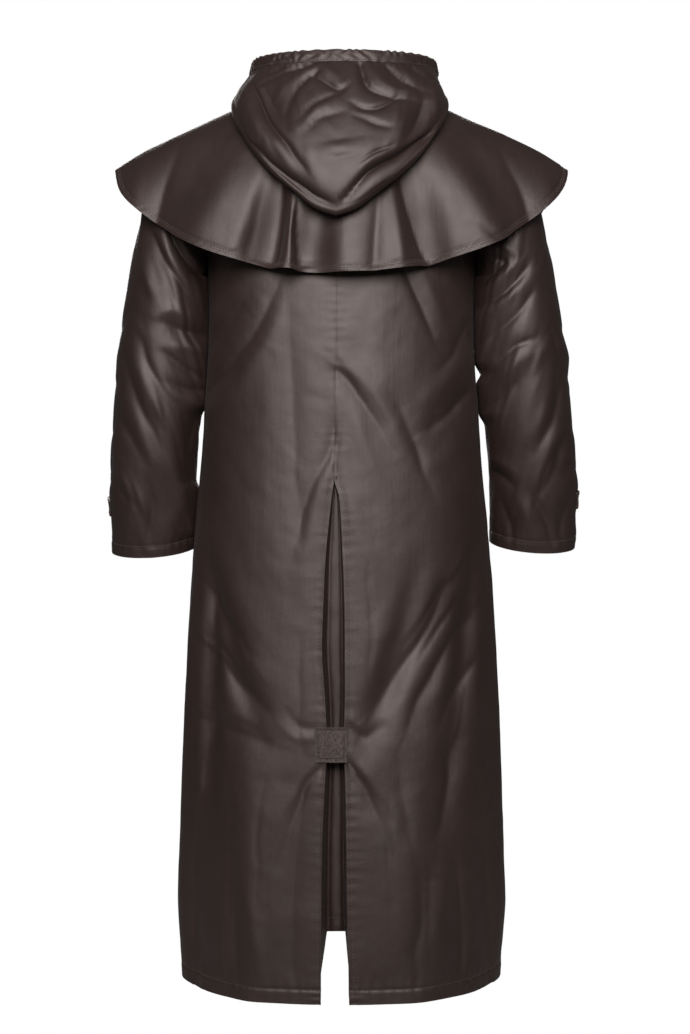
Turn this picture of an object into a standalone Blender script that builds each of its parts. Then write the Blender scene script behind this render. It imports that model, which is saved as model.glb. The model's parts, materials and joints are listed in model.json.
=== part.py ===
"""A full-length hooded riding coat with a shoulder cape, in the shape it takes when it is worn.

Metres, +Z up. The front faces -Y and the wearer's left is +X. The origin is the middle of the
neck, at the height of the neck seam, where the wearer's shoulders hold the coat. Every panel is
a thin wall on a surface that is worked out from rings: one ring is the outline of the cloth
around the wearer at one station, from the neck down.
"""

import math

import bmesh
import bpy
from mathutils import Vector

# Cloth and seams
CLOTH = 0.0016
SEAM_GAP = 0.0004
LAYER_GAP = 0.0006
SQUARENESS = 0.05

# Lengths, down from the neck
BACK_LENGTH = 1.305
VENT_TOP_Z = -0.564
GUSSET_TOP_Z = -0.552
TAB_TOP_Z = -0.918
TAB_BOTTOM_Z = -0.967

# Widths at the front edge
OVERLAP_HALF = 0.030
OVERLAP_LIFT = 0.0040
OVERLAP_RAMP = 0.026
CAPE_EDGE_X = 0.036

# Rings of the body from the neck to the hem. crest is how softly a ring passes over the shoulder.
RING_COLUMNS = ("half_width", "back_y", "front_y", "back_z", "side_z", "front_z", "crest")
BODY_RINGS = [
    (0.0830, 0.0640, -0.0900, 0.006, 0.022, -0.076, 0.6),
    (0.1420, 0.0870, -0.1070, -0.038, -0.003, -0.106, 0.6),
    (0.2030, 0.1120, -0.1240, -0.092, -0.032, -0.146, 0.6),
    (0.2120, 0.1235, -0.1330, -0.147, -0.095, -0.186, 0.6),
    (0.2090, 0.1305, -0.1385, -0.207, -0.175, -0.226, 0.6),
    (0.2020, 0.1345, -0.1420, -0.272, -0.262, -0.276, 0.6),
    (0.2015, 0.1375, -0.1440, -0.350, -0.350, -0.350, 0.6),
    (0.2065, 0.1405, -0.1470, -0.440, -0.440, -0.440, 0.6),
    (0.2105, 0.1440, -0.1500, -0.530, -0.530, -0.530, 0.6),
    (0.2195, 0.1500, -0.1550, -0.640, -0.640, -0.640, 0.6),
    (0.2270, 0.1570, -0.1620, -0.750, -0.750, -0.750, 0.6),
    (0.2335, 0.1650, -0.1700, -0.860, -0.860, -0.860, 0.6),
    (0.2390, 0.1725, -0.1775, -0.970, -0.970, -0.970, 0.6),
    (0.2435, 0.1795, -0.1840, -1.080, -1.080, -1.080, 0.6),
    (0.2470, 0.1855, -0.1890, -1.190, -1.190, -1.190, 0.6),
    (0.2435, 0.1900, -0.1920, -BACK_LENGTH, -1.302, -1.300, 0.6),
]
SHOULDER_RING = 2
ARMPIT_RING = 5
HEM_RING = len(BODY_RINGS) - 1

# Rings of the shoulder cape from the neck to its hem
CAPE_RINGS = [
    (0.0842, 0.0663, -0.0985, 0.0075, 0.0242, -0.066, 0.6),
    (0.1420, 0.0975, -0.1200, -0.028, 0.0050, -0.093, 0.6),
    (0.2010, 0.1250, -0.1400, -0.082, -0.0205, -0.133, 0.6),
    (0.2550, 0.1440, -0.1550, -0.146, -0.0445, -0.178, 0.5),
    (0.3010, 0.1530, -0.1640, -0.209, -0.0675, -0.222, 0.35),
    (0.3420, 0.1590, -0.1690, -0.271, -0.0945, -0.264, 0.15),
]
CAPE_HEM = len(CAPE_RINGS) - 1

# Armholes: how far, in degrees round the ring, each is cut into the back and the front
ARMHOLE_BACK = 29.0
ARMHOLE_FRONT = 35.0
ARMHOLE_FULLNESS = 0.8
SLEEVE_INSET = 0.0005

# Rings of a sleeve below the armhole, seen from the front: its inner and outer side, then its depth
SLEEVE_COLUMNS = ("inner_x", "inner_z", "outer_x", "outer_z", "mid_y", "half_depth", "pitch")
SLEEVE_RINGS = [
    (0.2065, -0.2725, 0.2480, -0.0510, -0.003, 0.0740, 0.0),
    (0.2070, -0.2830, 0.2810, -0.0930, -0.002, 0.0740, 0.0),
    (0.2070, -0.2970, 0.3010, -0.1500, 0.000, 0.0725, 0.0),
    (0.2070, -0.3190, 0.3155, -0.2140, 0.001, 0.0705, 1.0),
    (0.2075, -0.3530, 0.3260, -0.2780, 0.002, 0.0685, 2.0),
    (0.2095, -0.3960, 0.3375, -0.3500, 0.001, 0.0665, 4.0),
    (0.2125, -0.4430, 0.3455, -0.4300, -0.003, 0.0645, 7.0),
    (0.2175, -0.4970, 0.3500, -0.5000, -0.010, 0.0620, 10.0),
    (0.2225, -0.5560, 0.3545, -0.5650, -0.021, 0.0595, 13.0),
    (0.2240, -0.6120, 0.3555, -0.6200, -0.033, 0.0565, 15.0),
    (0.2240, -0.6640, 0.3550, -0.6720, -0.046, 0.0540, 15.0),
]
CUFF_RING = len(SLEEVE_RINGS)
SLEEVE_SIDES = 20
RIGHT_CUFF_OUT = 0.006
RIGHT_CUFF_UP = 0.007

# The centre back: the two edges by height. Above the first row they are sewn together.
VENT_COLUMNS = ("height", "left_x", "right_x")
VENT_EDGES = [
    (0.040, 0.0062, 0.0062),
    (-0.300, 0.0066, 0.0066),
    (VENT_TOP_Z, 0.0100, 0.0100),
    (-0.592, 0.0134, 0.0029),
    (-0.674, 0.0217, -0.0021),
    (-0.747, 0.0252, -0.0048),
    (-0.811, 0.0270, -0.0053),
    (-0.880, 0.0225, -0.0055),
    (-0.942, 0.0199, -0.0035),
    (-0.995, 0.0226, -0.0060),
    (-1.080, 0.0264, -0.0075),
    (-1.165, 0.0276, -0.0085),
    (-1.330, 0.0286, -0.0120),
]

# Long soft folds of the skirt: where each one starts and ends, how wide it is and how proud
FOLD_COLUMNS = ("top_angle", "top_z", "foot_angle", "foot_z", "width", "height")
BODY_FOLDS = [
    (-33.0, -0.640, -9.0, -0.960, 5.5, -0.0075),
    (-62.0, -0.620, -37.0, -1.010, 6.0, -0.0085),
    (-76.0, -0.560, -66.0, -1.400, 6.5, 0.0060),
    (-22.0, -0.900, -26.0, -1.400, 7.0, 0.0040),
    (61.0, -0.650, 25.0, -0.960, 5.5, -0.0065),
    (57.0, -0.600, 50.0, -1.120, 5.0, -0.0060),
    (72.0, -0.520, 66.0, -1.400, 6.0, 0.0060),
    (33.0, -0.860, 30.0, -1.400, 7.0, 0.0045),
    (104.0, -0.420, 118.0, -1.400, 7.0, 0.0065),
    (124.0, -0.560, 138.0, -1.100, 7.0, -0.0060),
    (146.0, -0.700, 155.0, -1.400, 7.0, 0.0045),
    (-102.0, -0.400, -115.0, -1.400, 7.0, 0.0060),
    (-122.0, -0.600, -134.0, -1.150, 7.0, -0.0065),
    (-146.0, -0.760, -153.0, -1.400, 7.0, 0.0045),
]

# Flutes of the cape: where each one meets the hem, and where along the cape it starts
FLUTE_COLUMNS = ("angle", "width", "height", "start")
CAPE_FLUTES = [
    (-76.0, 11.0, 0.0050, 1.5),
    (-52.0, 9.0, -0.0070, 1.8),
    (-40.0, 7.0, 0.0085, 1.5),
    (-25.0, 5.5, -0.0105, 1.4),
    (-6.0, 10.0, 0.0070, 1.8),
    (6.5, 4.5, -0.0075, 1.4),
    (13.0, 4.0, 0.0150, 1.7),
    (20.5, 4.5, -0.0085, 1.2),
    (33.0, 9.0, 0.0065, 1.6),
    (52.0, 8.0, -0.0060, 1.8),
    (72.0, 10.0, 0.0060, 1.8),
    (106.0, 11.0, -0.0060, 2.0),
    (127.0, 10.0, 0.0075, 1.8),
    (148.0, 8.0, -0.0055, 2.2),
    (-104.0, 11.0, -0.0055, 2.0),
    (-128.0, 10.0, 0.0070, 1.8),
    (-149.0, 8.0, -0.0060, 2.2),
]

# The hood, lying down: by angle from its tip, how many cape rings it reaches, and how full it is
HOOD_COLUMNS = ("angle", "reach", "fullness")
HOOD_PLAN = [
    (0.0, 3.66, 0.104),
    (6.0, 3.50, 0.104),
    (12.0, 3.20, 0.102),
    (20.0, 2.88, 0.096),
    (30.0, 2.48, 0.080),
    (42.0, 2.02, 0.058),
    (58.0, 1.54, 0.034),
    (80.0, 1.07, 0.016),
    (105.0, 0.88, 0.012),
    (130.0, 0.76, 0.010),
    (152.0, 0.62, 0.008),
    (172.0, 0.50, 0.006),
]
HOOD_TIP_ANGLE = 1.5
HOOD_SIDEWAYS = 0.12
HOOD_CLEAR = 0.0042
HOOD_SEAM = 0.0014
FLUTE_CLEAR = 0.0060
HOOD_FOLD_RADIUS = 0.0080
HOOD_FRONT_ANGLE = 163.0
HOOD_RIM = (0.1385, 0.1020, -0.1230, 0.0620, 0.0700, -0.040, 0.6)
HOOD_RIM_ASIDE = -0.0045
CHANNEL_HEIGHT = 0.015
CHANNEL_THICK = 0.0034
CHANNEL_GAP = 0.0008
CHANNEL_SLOPE = 0.0030
CHANNEL_WAVES = 38
CHANNEL_WAVE_HEIGHT = 0.0016

# Press studs
STUD_RADIUS = 0.0075
STUD_HEIGHT = 0.0026
STUD_COUNT = 7
STUD_FIRST_Z = -0.125
STUD_LAST_Z = -1.010
CUFF_TAB_HALF_WIDTH = 0.0125
CUFF_TAB_RISE = {1: 0.072, -1: 0.078}

# Colours: red, green and blue, then roughness and metallic
FINISHES = {
    "shell_cloth": ((0.052, 0.040, 0.037), 0.42, 0.0),
    "tab_webbing": ((0.062, 0.049, 0.046), 0.75, 0.0),
    "stud_metal": ((0.060, 0.052, 0.048), 0.35, 0.9),
}


def material(name):
    """The named finish as a Principled material, made once."""
    found = bpy.data.materials.get(name)
    if found:
        return found
    colour, roughness, metallic = FINISHES[name]
    made = bpy.data.materials.new(name)
    made.use_nodes = True
    shader = made.node_tree.nodes["Principled BSDF"]
    shader.inputs["Base Color"].default_value = (*colour, 1.0)
    shader.inputs["Roughness"].default_value = roughness
    shader.inputs["Metallic"].default_value = metallic
    made.diffuse_color = (*colour, 1.0)
    return made


def smooth_between(rows, place):
    """A smooth row between the rows of a table, at a place counted in rows."""
    first = min(int(place), len(rows) - 2)
    share = place - first
    picked = [rows[max(0, min(len(rows) - 1, first + step))] for step in (-1, 0, 1, 2)]
    mixed = []
    for before, start, end, after in zip(*picked):
        mixed.append(
            0.5
            * (
                2 * start
                + (end - before) * share
                + (2 * before - 5 * start + 4 * end - after) * share**2
                + (3 * start - before - 3 * end + after) * share**3
            )
        )
    return mixed


def read_table(rows, key, column):
    """A smooth value from a table whose first column rises or falls steadily."""
    rising = rows[0][0] < rows[-1][0]
    ordered = rows if rising else rows[::-1]
    key = max(ordered[0][0], min(ordered[-1][0], key))
    index = 0
    while index < len(ordered) - 2 and ordered[index + 1][0] < key:
        index += 1
    low, high = ordered[index], ordered[index + 1]
    share = (key - low[0]) / (high[0] - low[0])
    before = ordered[max(0, index - 1)]
    after = ordered[min(len(ordered) - 1, index + 2)]
    span = high[0] - low[0]
    slope_low = (high[column] - before[column]) / max(high[0] - before[0], 1e-9) * span
    slope_high = (after[column] - low[column]) / max(after[0] - low[0], 1e-9) * span
    two, three = share**2, share**3
    return (
        low[column] * (2 * three - 3 * two + 1)
        + slope_low * (three - 2 * two + share)
        + high[column] * (3 * two - 2 * three)
        + slope_high * (three - two)
    )


def ease(value, start, end):
    """0 before start, 1 after end, and a smooth step between them."""
    share = max(0.0, min(1.0, (value - start) / (end - start)))
    return share * share * (3 - 2 * share)


def bump(angle, centre, width):
    """A soft bell round one angle, in degrees."""
    away = (angle - centre + 180.0) % 360.0 - 180.0
    return math.exp(-((away / width) ** 2))


def ring_point(ring, degrees, out=0.0, squareness=SQUARENESS):
    """The point of a ring at an angle from the centre back, positive to the wearer's left."""
    half_width, back_y, front_y, back_z, side_z, front_z, crest = ring
    turn = math.radians(degrees)
    along, across = math.cos(turn), math.sin(turn)
    full = 1.0 + squareness * math.sin(2 * turn) ** 2
    reach_y = back_y if along >= 0 else -front_y
    end_z = back_z if along >= 0 else front_z
    fall = (math.hypot(along, crest) - crest) / (math.hypot(1.0, crest) - crest)
    return Vector(
        (
            (half_width * full + out) * across,
            (reach_y * full + out) * along,
            side_z + (end_z - side_z) * fall,
        )
    )


def fold_height(degrees, height_z):
    """How far the long folds push the skirt out at one place."""
    total = 0.0
    for top_angle, top_z, foot_angle, foot_z, width, height in BODY_FOLDS:
        share = (top_z - height_z) / (top_z - foot_z)
        if share <= 0.0:
            continue
        strength = ease(share, 0.0, 0.4)
        if foot_z > -BACK_LENGTH:
            strength *= 1.0 - ease(share, 0.65, 1.1)
        centre = top_angle + (foot_angle - top_angle) * share
        total += height * strength * bump(degrees, centre, width)
    return total


def body_point(degrees, place):
    """A point of the body's outer surface. place counts rings down from the neck."""
    ring = smooth_between(BODY_RINGS, place)
    plain = ring_point(ring, degrees)
    return ring_point(ring, degrees, fold_height(degrees, plain.z))


def angle_at_x(rings, place, x, front=False):
    """The angle at which a ring passes a distance x from the middle plane."""
    ring = smooth_between(rings, place)
    turn = math.degrees(math.asin(max(-1.0, min(1.0, x / ring[0]))))
    return 180.0 - turn if front else turn


def armhole_cut(place):
    """How deep the armhole is cut at a ring: 0 at the shoulder point and the armpit, 1 between."""
    share = (place - SHOULDER_RING) / (ARMPIT_RING - SHOULDER_RING)
    if share <= 0.0 or share >= 1.0:
        return 0.0
    return math.sin(math.pi * share) ** ARMHOLE_FULLNESS


def seam_angle(place):
    """Half a seam's gap, as an angle."""
    return math.degrees(SEAM_GAP / 2 / smooth_between(BODY_RINGS, place)[0])


def back_edge(side, place):
    """The angle of a back panel's centre edge."""
    height = smooth_between(BODY_RINGS, place)[3]
    left, right = read_table(VENT_EDGES, height, 1), read_table(VENT_EDGES, height, 2)
    x = left if side > 0 else right
    if height > VENT_TOP_Z:
        x = (left + right) / 2
    x += side * SEAM_GAP / 2
    return angle_at_x(BODY_RINGS, place, x)


def back_surface(side):
    """A back panel: s runs from the centre back to the side, t down the rings."""

    def surface(s, t):
        start = back_edge(side, t)
        end = side * (90.0 - ARMHOLE_BACK * armhole_cut(t) - seam_angle(t))
        return body_point(start + (end - start) * s, t)

    return surface


def front_lift(x):
    """The left front rises over the right one near the centre front."""
    return OVERLAP_LIFT * (1.0 - ease(x, OVERLAP_HALF + 0.004, OVERLAP_HALF + OVERLAP_RAMP))


def front_surface(side):
    """A front panel: s runs from the side to the front edge. The left front lies over the right."""

    def surface(s, t):
        start = side * (90.0 + ARMHOLE_FRONT * armhole_cut(t) + seam_angle(t))
        if side > 0:
            end = angle_at_x(BODY_RINGS, t, -OVERLAP_HALF, front=True)
        else:
            end = -angle_at_x(BODY_RINGS, t, -OVERLAP_HALF, front=True)
        degrees = start + (end - start) * s
        point = body_point(degrees, t)
        if side > 0:
            turn = math.radians(degrees)
            lift = front_lift(point.x)
            point += Vector((math.sin(turn) * lift, math.cos(turn) * lift, 0.0))
        return point

    return surface


def cape_point(degrees, place):
    """A point of the cape's outer surface. place counts rings from the neck."""
    ring = smooth_between(CAPE_RINGS, place)
    out = 0.0
    for angle, width, height, start in CAPE_FLUTES:
        out += height * bump(degrees, angle, width) * ease(place, start, CAPE_HEM) ** 0.8
    return ring_point(ring, degrees, out, SQUARENESS * max(0.0, 1.0 - place / 2))


def cape_surface(s, t):
    """The cape, from its left front edge round the back to its right front edge."""
    edge = angle_at_x(CAPE_RINGS, t, CAPE_EDGE_X, front=True)
    return cape_point(edge * (1.0 - 2.0 * s), t)


def normal_of(surface, s, t, step=1e-3):
    """The unit normal of a surface at one place, by differences."""
    side = surface(s + step, t) - surface(s - step, t)
    down = surface(s, t + step) - surface(s, t - step)
    return side.cross(down).normalized()


def armhole_point(side, degrees):
    """The sleeve's edge in the armhole: 0 is the shoulder point, 90 the back, 180 the armpit."""
    turn = math.radians(degrees)
    share = (1.0 - math.cos(turn)) / 2.0
    place = SHOULDER_RING + (ARMPIT_RING - SHOULDER_RING) * share
    if math.sin(turn) >= 0:
        around = 90.0 - ARMHOLE_BACK * armhole_cut(place)
    else:
        around = 90.0 + ARMHOLE_FRONT * armhole_cut(place)
    point = body_point(around, place)
    middle = (body_point(90.0, SHOULDER_RING) + body_point(90.0, ARMPIT_RING)) / 2
    inward = (middle - point).normalized() * SLEEVE_INSET
    return Vector((side * (point.x + inward.x + SLEEVE_INSET), point.y + inward.y, point.z + inward.z))


def sleeve_ring_point(side, row, degrees):
    """A point of one of the sleeve's rings: 0 is its outer side, 90 its back."""
    inner_x, inner_z, outer_x, outer_z, mid_y, half_depth, pitch = SLEEVE_RINGS[row]
    if side < 0:
        share = ((row + 1) / CUFF_RING) ** 2
        inner_x, outer_x = inner_x + RIGHT_CUFF_OUT * share, outer_x + RIGHT_CUFF_OUT * share
        inner_z, outer_z = inner_z + RIGHT_CUFF_UP * share, outer_z + RIGHT_CUFF_UP * share
    turn, lean = math.radians(degrees), math.radians(pitch)
    wide, deep = math.cos(turn), math.sin(turn) * half_depth
    return Vector(
        (
            side * ((inner_x + outer_x) / 2 + (outer_x - inner_x) / 2 * wide),
            mid_y + deep * math.cos(lean),
            (inner_z + outer_z) / 2 + (outer_z - inner_z) / 2 * wide - deep * math.sin(lean),
        )
    )


def sleeve_surface(side):
    """A sleeve: s runs once round it, t from the armhole (0) to the cuff."""

    def surface(s, t):
        degrees = 360.0 * s
        first = min(int(max(t, 0.0)), CUFF_RING - 1)
        rows = []
        for row in range(first - 1, first + 3):
            row = max(0, min(CUFF_RING, row))
            if row == 0:
                rows.append(armhole_point(side, degrees))
            else:
                rows.append(sleeve_ring_point(side, row - 1, degrees))
        return Vector(smooth_between(rows, 1.0 + t - first))

    return surface


def hood_value(degrees, column):
    return read_table(HOOD_PLAN, abs(degrees - HOOD_TIP_ANGLE), column)


def hood_rim(degrees, below=0.0):
    """The hood's rim, or the line that lies some way below it on the outer side."""
    turn = math.radians(degrees)
    rim = ring_point(HOOD_RIM, degrees, 0.0, 0.0)
    out = CHANNEL_SLOPE * below / CHANNEL_HEIGHT
    aside = HOOD_RIM_ASIDE * ease(math.cos(turn), -0.9, 0.2)
    return rim + Vector((math.sin(turn) * out + aside, math.cos(turn) * out, -below))


def hood_section(degrees, share):
    """A point round one section of the hood: 0 is the neck seam, 1 its far fold's start,
    2 its end, and 3 the rim's channel."""
    reach = hood_value(degrees, 1)

    def lower(angle, place):
        square = SQUARENESS * max(0.0, 1.0 - place / 2)
        return ring_point(smooth_between(CAPE_RINGS, place), angle, 0.0, square)

    place = 0.10 + (reach - 0.10) * min(share, 1.0)
    clear = HOOD_SEAM + (HOOD_CLEAR - HOOD_SEAM) * ease(share, 0.0, 0.35)
    clear += FLUTE_CLEAR * ease(place, 1.2, 3.4)
    spot = lower(degrees, place)
    aside = lower(degrees + 0.5, place) - lower(degrees - 0.5, place)
    along = lower(degrees, place + 0.02) - lower(degrees, place - 0.02)
    up = aside.cross(along)
    up = (up if up.z > 0 else -up).normalized()
    if share <= 1.0:
        return spot + up * clear
    along = (along - up * along.dot(up)).normalized()
    radius = HOOD_FOLD_RADIUS
    turned = math.pi * (min(share, 2.0) - 1.0)
    centre = spot + up * (clear + radius)
    folded = centre - up * (radius * math.cos(turned)) + along * (radius * math.sin(turned))
    if share <= 2.0:
        return folded
    turn = math.radians(degrees)
    fullness = hood_value(degrees, 2)
    out = Vector((math.sin(turn) * HOOD_SIDEWAYS, math.cos(turn), 0.0))
    rise = Vector((0.0, 0.0, 1.0))
    steep = 1.0 + 2.2 * ease(abs(degrees), 75.0, 125.0) + 3.0 * ease(abs(degrees), 130.0, 160.0)
    end = hood_rim(degrees, CHANNEL_HEIGHT + CHANNEL_GAP * steep)
    first = folded + out * (fullness * 0.20) + rise * (fullness * 0.42) - along * 0.004
    last = end + out * (fullness * 0.95) - rise * (fullness * 0.12 + 0.004)
    part = share - 2.0
    rest = 1.0 - part
    return (
        folded * rest**3
        + first * (3 * rest**2 * part)
        + last * (3 * rest * part**2)
        + end * part**3
    )


def hood_surface(s, t):
    """The hood, from its left front edge round the back to its right one."""
    return hood_section(HOOD_FRONT_ANGLE * (1.0 - 2.0 * s), t)


def channel_surface(s, t):
    """The gathered channel on the hood's rim. t runs from its top edge (0) to its lower one."""
    degrees = HOOD_FRONT_ANGLE * (1.0 - 2.0 * s)
    turn = math.radians(degrees)
    point = hood_rim(degrees, CHANNEL_HEIGHT * t)
    wave = math.sin(math.pi * CHANNEL_WAVES * s) * (0.6 + 0.4 * math.sin(11.0 * s))
    out = CHANNEL_WAVE_HEIGHT * wave + (CHANNEL_THICK - CLOTH) / 2
    return point + Vector((math.sin(turn) * out, math.cos(turn) * out, 0.0))


def back_place(height):
    """The ring place, below the armpit, at a height on the centre back."""
    low, high = float(ARMPIT_RING), float(HEM_RING)
    for _ in range(40):
        middle = (low + high) / 2
        if smooth_between(BODY_RINGS, middle)[3] > height:
            low = middle
        else:
            high = middle
    return (low + high) / 2


# The gusset's section inside the vent: across it, which edge each corner hangs on, and how deep
GUSSET_COLUMNS = ("across", "edge_share", "aside", "depth", "hem_z")
GUSSET_CORNERS = [
    (0.00, 0.00, 0.0150, 0.0026, -1.272),
    (0.14, 0.00, 0.0020, 0.0026, -1.274),
    (0.34, 0.34, 0.0000, 0.0560, -1.214),
    (0.50, 0.62, 0.0000, 0.0380, -1.211),
    (0.66, 0.86, 0.0000, 0.0520, -1.213),
    (0.86, 1.00, -0.0020, 0.0026, -1.266),
    (1.00, 1.00, -0.0150, 0.0026, -1.264),
]


def straight(rows, key, column):
    """A value read straight between the rows of a table."""
    for low, high in zip(rows, rows[1:]):
        if key <= high[0] or high is rows[-1]:
            return low[column] + (high[column] - low[column]) * (key - low[0]) / (high[0] - low[0])
    return rows[-1][column]


def gusset_surface(s, t):
    """The folded gusset behind the vent. s crosses it from left to right, t runs down it."""
    hem = straight(GUSSET_CORNERS, s, 4)
    height = GUSSET_TOP_Z + (hem - GUSSET_TOP_Z) * t
    opened = (0.10 + 0.90 * ease(t, -0.25, 1.15)) if t < 1.0 else 1.0
    left = read_table(VENT_EDGES, height, 1)
    right = read_table(VENT_EDGES, height, 2)
    x = left + (right - left) * straight(GUSSET_CORNERS, s, 1) + straight(GUSSET_CORNERS, s, 2)
    place = back_place(height)
    back = body_point(angle_at_x(BODY_RINGS, place, x), place)
    depth = straight(GUSSET_CORNERS, s, 3)
    seam = GUSSET_CORNERS[0][3]
    return Vector((x, back.y - seam - (depth - seam) * opened, height))


def vent_tab_surface(s, t):
    """The strap that holds the vent together: s from its left end to its right, t down it."""
    height = TAB_TOP_Z + (TAB_BOTTOM_Z - TAB_TOP_Z) * t
    place = back_place(height)
    x = TAB_LEFT_X + (TAB_RIGHT_X - TAB_LEFT_X) * s
    return body_point(angle_at_x(BODY_RINGS, place, x), place)


TAB_LEFT_X = 0.0370
TAB_RIGHT_X = -0.0080
TAB_THICK = 0.0026


def placket_surface(s, t):
    """The strip on the left front's edge: s across it, t down the rings."""
    x = OVERLAP_HALF - 2 * OVERLAP_HALF * s
    degrees = angle_at_x(BODY_RINGS, t, x, front=True)
    turn = math.radians(degrees)
    point = body_point(degrees, t)
    lift = OVERLAP_LIFT
    return point + Vector((math.sin(turn) * lift, math.cos(turn) * lift, 0.0))


def cuff_tab_surface(side):
    """The strap round the outer side of a cuff: s along it from the front, t across it."""
    surface = sleeve_surface(side)
    middle = CUFF_RING - CUFF_TAB_RISE[side] / 0.0545
    half = CUFF_TAB_HALF_WIDTH / 0.0545

    def strap(s, t):
        return surface(-0.30 + 0.345 * s, middle - half + 2 * half * t)

    return strap


def steps(start, end, count):
    """count + 1 even values from start to end."""
    return [start + (end - start) * index / count for index in range(count + 1)]


def wall(name, surface, across, down, thickness=CLOTH, lift=0.0, outward=1, around=False,
         cloth="shell_cloth"):
    """A closed wall of cloth on a surface. outward says which way the surface's normal points."""
    columns, rows = len(across) - 1, len(down) - 1
    shape = bmesh.new()
    bmesh.ops.create_grid(shape, x_segments=columns, y_segments=rows, size=0.5)
    layer_s = shape.verts.layers.float.new("across")
    layer_t = shape.verts.layers.float.new("down")

    def lay(vert, offset):
        s, t = vert[layer_s], vert[layer_t]
        vert.co = surface(s, t) + normal_of(surface, s, t) * (outward * offset)

    for vert in shape.verts:
        vert[layer_s] = across[round((vert.co.x + 0.5) * columns)]
        vert[layer_t] = down[round((0.5 - vert.co.y) * rows)]
    for vert in shape.verts:
        lay(vert, lift)
    if around:
        bmesh.ops.remove_doubles(shape, verts=shape.verts, dist=1e-6)
    inner = bmesh.ops.extrude_face_region(shape, geom=shape.faces[:], use_keep_orig=True)
    for vert in inner["geom"]:
        if isinstance(vert, bmesh.types.BMVert):
            lay(vert, lift - thickness)
    bmesh.ops.recalc_face_normals(shape, faces=shape.faces)
    return finish(name, shape, cloth)


def finish(name, shape, cloth):
    """Turns a bmesh into a named object with its finish, shaded smooth but for its edges."""
    mesh = bpy.data.meshes.new(name)
    shape.to_mesh(mesh)
    shape.free()
    mesh.shade_smooth()
    mesh.set_sharp_from_angle(angle=math.radians(50))
    mesh.materials.append(material(cloth))
    made = bpy.data.objects.new(name, mesh)
    bpy.context.scene.collection.objects.link(made)
    return made


def stud(name, seat, out):
    """A press stud's domed cap, seated on the cloth at one point."""
    shape = bmesh.new()
    made = bmesh.ops.create_cone(
        shape, cap_ends=True, segments=16, radius1=STUD_RADIUS, radius2=STUD_RADIUS * 0.62,
        depth=STUD_HEIGHT,
    )
    bmesh.ops.translate(shape, verts=made["verts"], vec=(0, 0, STUD_HEIGHT / 2))
    cap = finish(name, shape, "stud_metal")
    cap.rotation_mode = "QUATERNION"
    cap.rotation_quaternion = out.to_track_quat("Z", "Y")
    cap.location = seat
    return cap


def armhole_places():
    """Ring places down the armhole, closer together at its top and bottom."""
    deep = ARMPIT_RING - SHOULDER_RING
    half = SLEEVE_SIDES // 2
    turns = [math.pi * step / half for step in range(half + 1)]
    return [SHOULDER_RING + deep * (1.0 - math.cos(turn)) / 2.0 for turn in turns]


def body_rows():
    """The ring places at which the body's panels have their rows."""
    return steps(0.0, SHOULDER_RING, 4) + armhole_places()[1:] + steps(ARMPIT_RING, HEM_RING, 12)[1:]


def make_body():
    """Two backs, two fronts and the strip that carries the studs."""
    across_back = [0.0, 0.05] + steps(0.115, 1.0, 12)
    across_front = steps(0.0, 0.70, 9) + [0.76, 0.82, 0.88, 0.94, 1.0]
    rows = body_rows()
    for side, word in ((1, "left"), (-1, "right")):
        wall(f"back_{word}", back_surface(side), across_back, rows, outward=side)
        wall(f"front_{word}", front_surface(side), across_front, rows, outward=side)
    wall("placket", placket_surface, steps(0, 1, 4), [0.12] + rows[1:-1] + [HEM_RING - 0.02],
         lift=CLOTH + LAYER_GAP, outward=1)


def make_sleeves():
    """Each sleeve is a tube, with a strap and its stud on the outer side of the cuff."""
    rows = steps(0.0, 1.0, 2) + steps(1.0, CUFF_RING, 13)[1:]
    around = steps(0, 1, SLEEVE_SIDES)
    for side, word in ((1, "left"), (-1, "right")):
        outward = -side
        surface = sleeve_surface(side)
        wall(f"sleeve_{word}", surface, around, rows, outward=outward, around=True)
        strap = cuff_tab_surface(side)
        wall(f"cuff_tab_{word}", strap, steps(0, 1, 9), steps(0, 1, 1), thickness=0.0024,
             lift=0.0024 + LAYER_GAP, outward=outward, cloth="shell_cloth")
        out = normal_of(strap, 0.16, 0.5) * outward
        stud(f"cuff_stud_{word}", strap(0.16, 0.5) + out * (0.0024 + 1.5 * LAYER_GAP), out)


def make_cape_and_hood():
    """The cape, the hood that lies on it, and the gathered channel on the hood's rim."""
    across = steps(0.0, 0.36, 19) + steps(0.36, 0.64, 26)[1:] + steps(0.64, 1.0, 19)[1:]
    wall("cape", cape_surface, across, steps(0.0, 2.0, 4) + steps(2.0, CAPE_HEM, 5)[1:], outward=-1)
    sections = steps(0.0, 1.0, 3) + steps(1.0, 2.0, 2)[1:] + steps(2.0, 3.0, 6)[1:]
    wall("hood", hood_surface, steps(0, 1, 57), sections, outward=1)
    wall("hood_channel", channel_surface, steps(0, 1, 114), steps(0, 1, 1),
         thickness=CHANNEL_THICK, outward=-1)


def make_vent():
    """The gusset behind the vent and the strap across it."""
    across = [0.0, 0.07, 0.14, 0.20, 0.27, 0.34, 0.42, 0.50, 0.58, 0.66, 0.73, 0.80, 0.86, 0.93, 1.0]
    wall("gusset", gusset_surface, across, steps(0, 1, 10), outward=-1)
    wall("vent_tab", vent_tab_surface, steps(0, 1, 4), steps(0, 1, 2), thickness=TAB_THICK,
         lift=TAB_THICK + LAYER_GAP, outward=-1, cloth="tab_webbing")


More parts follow.
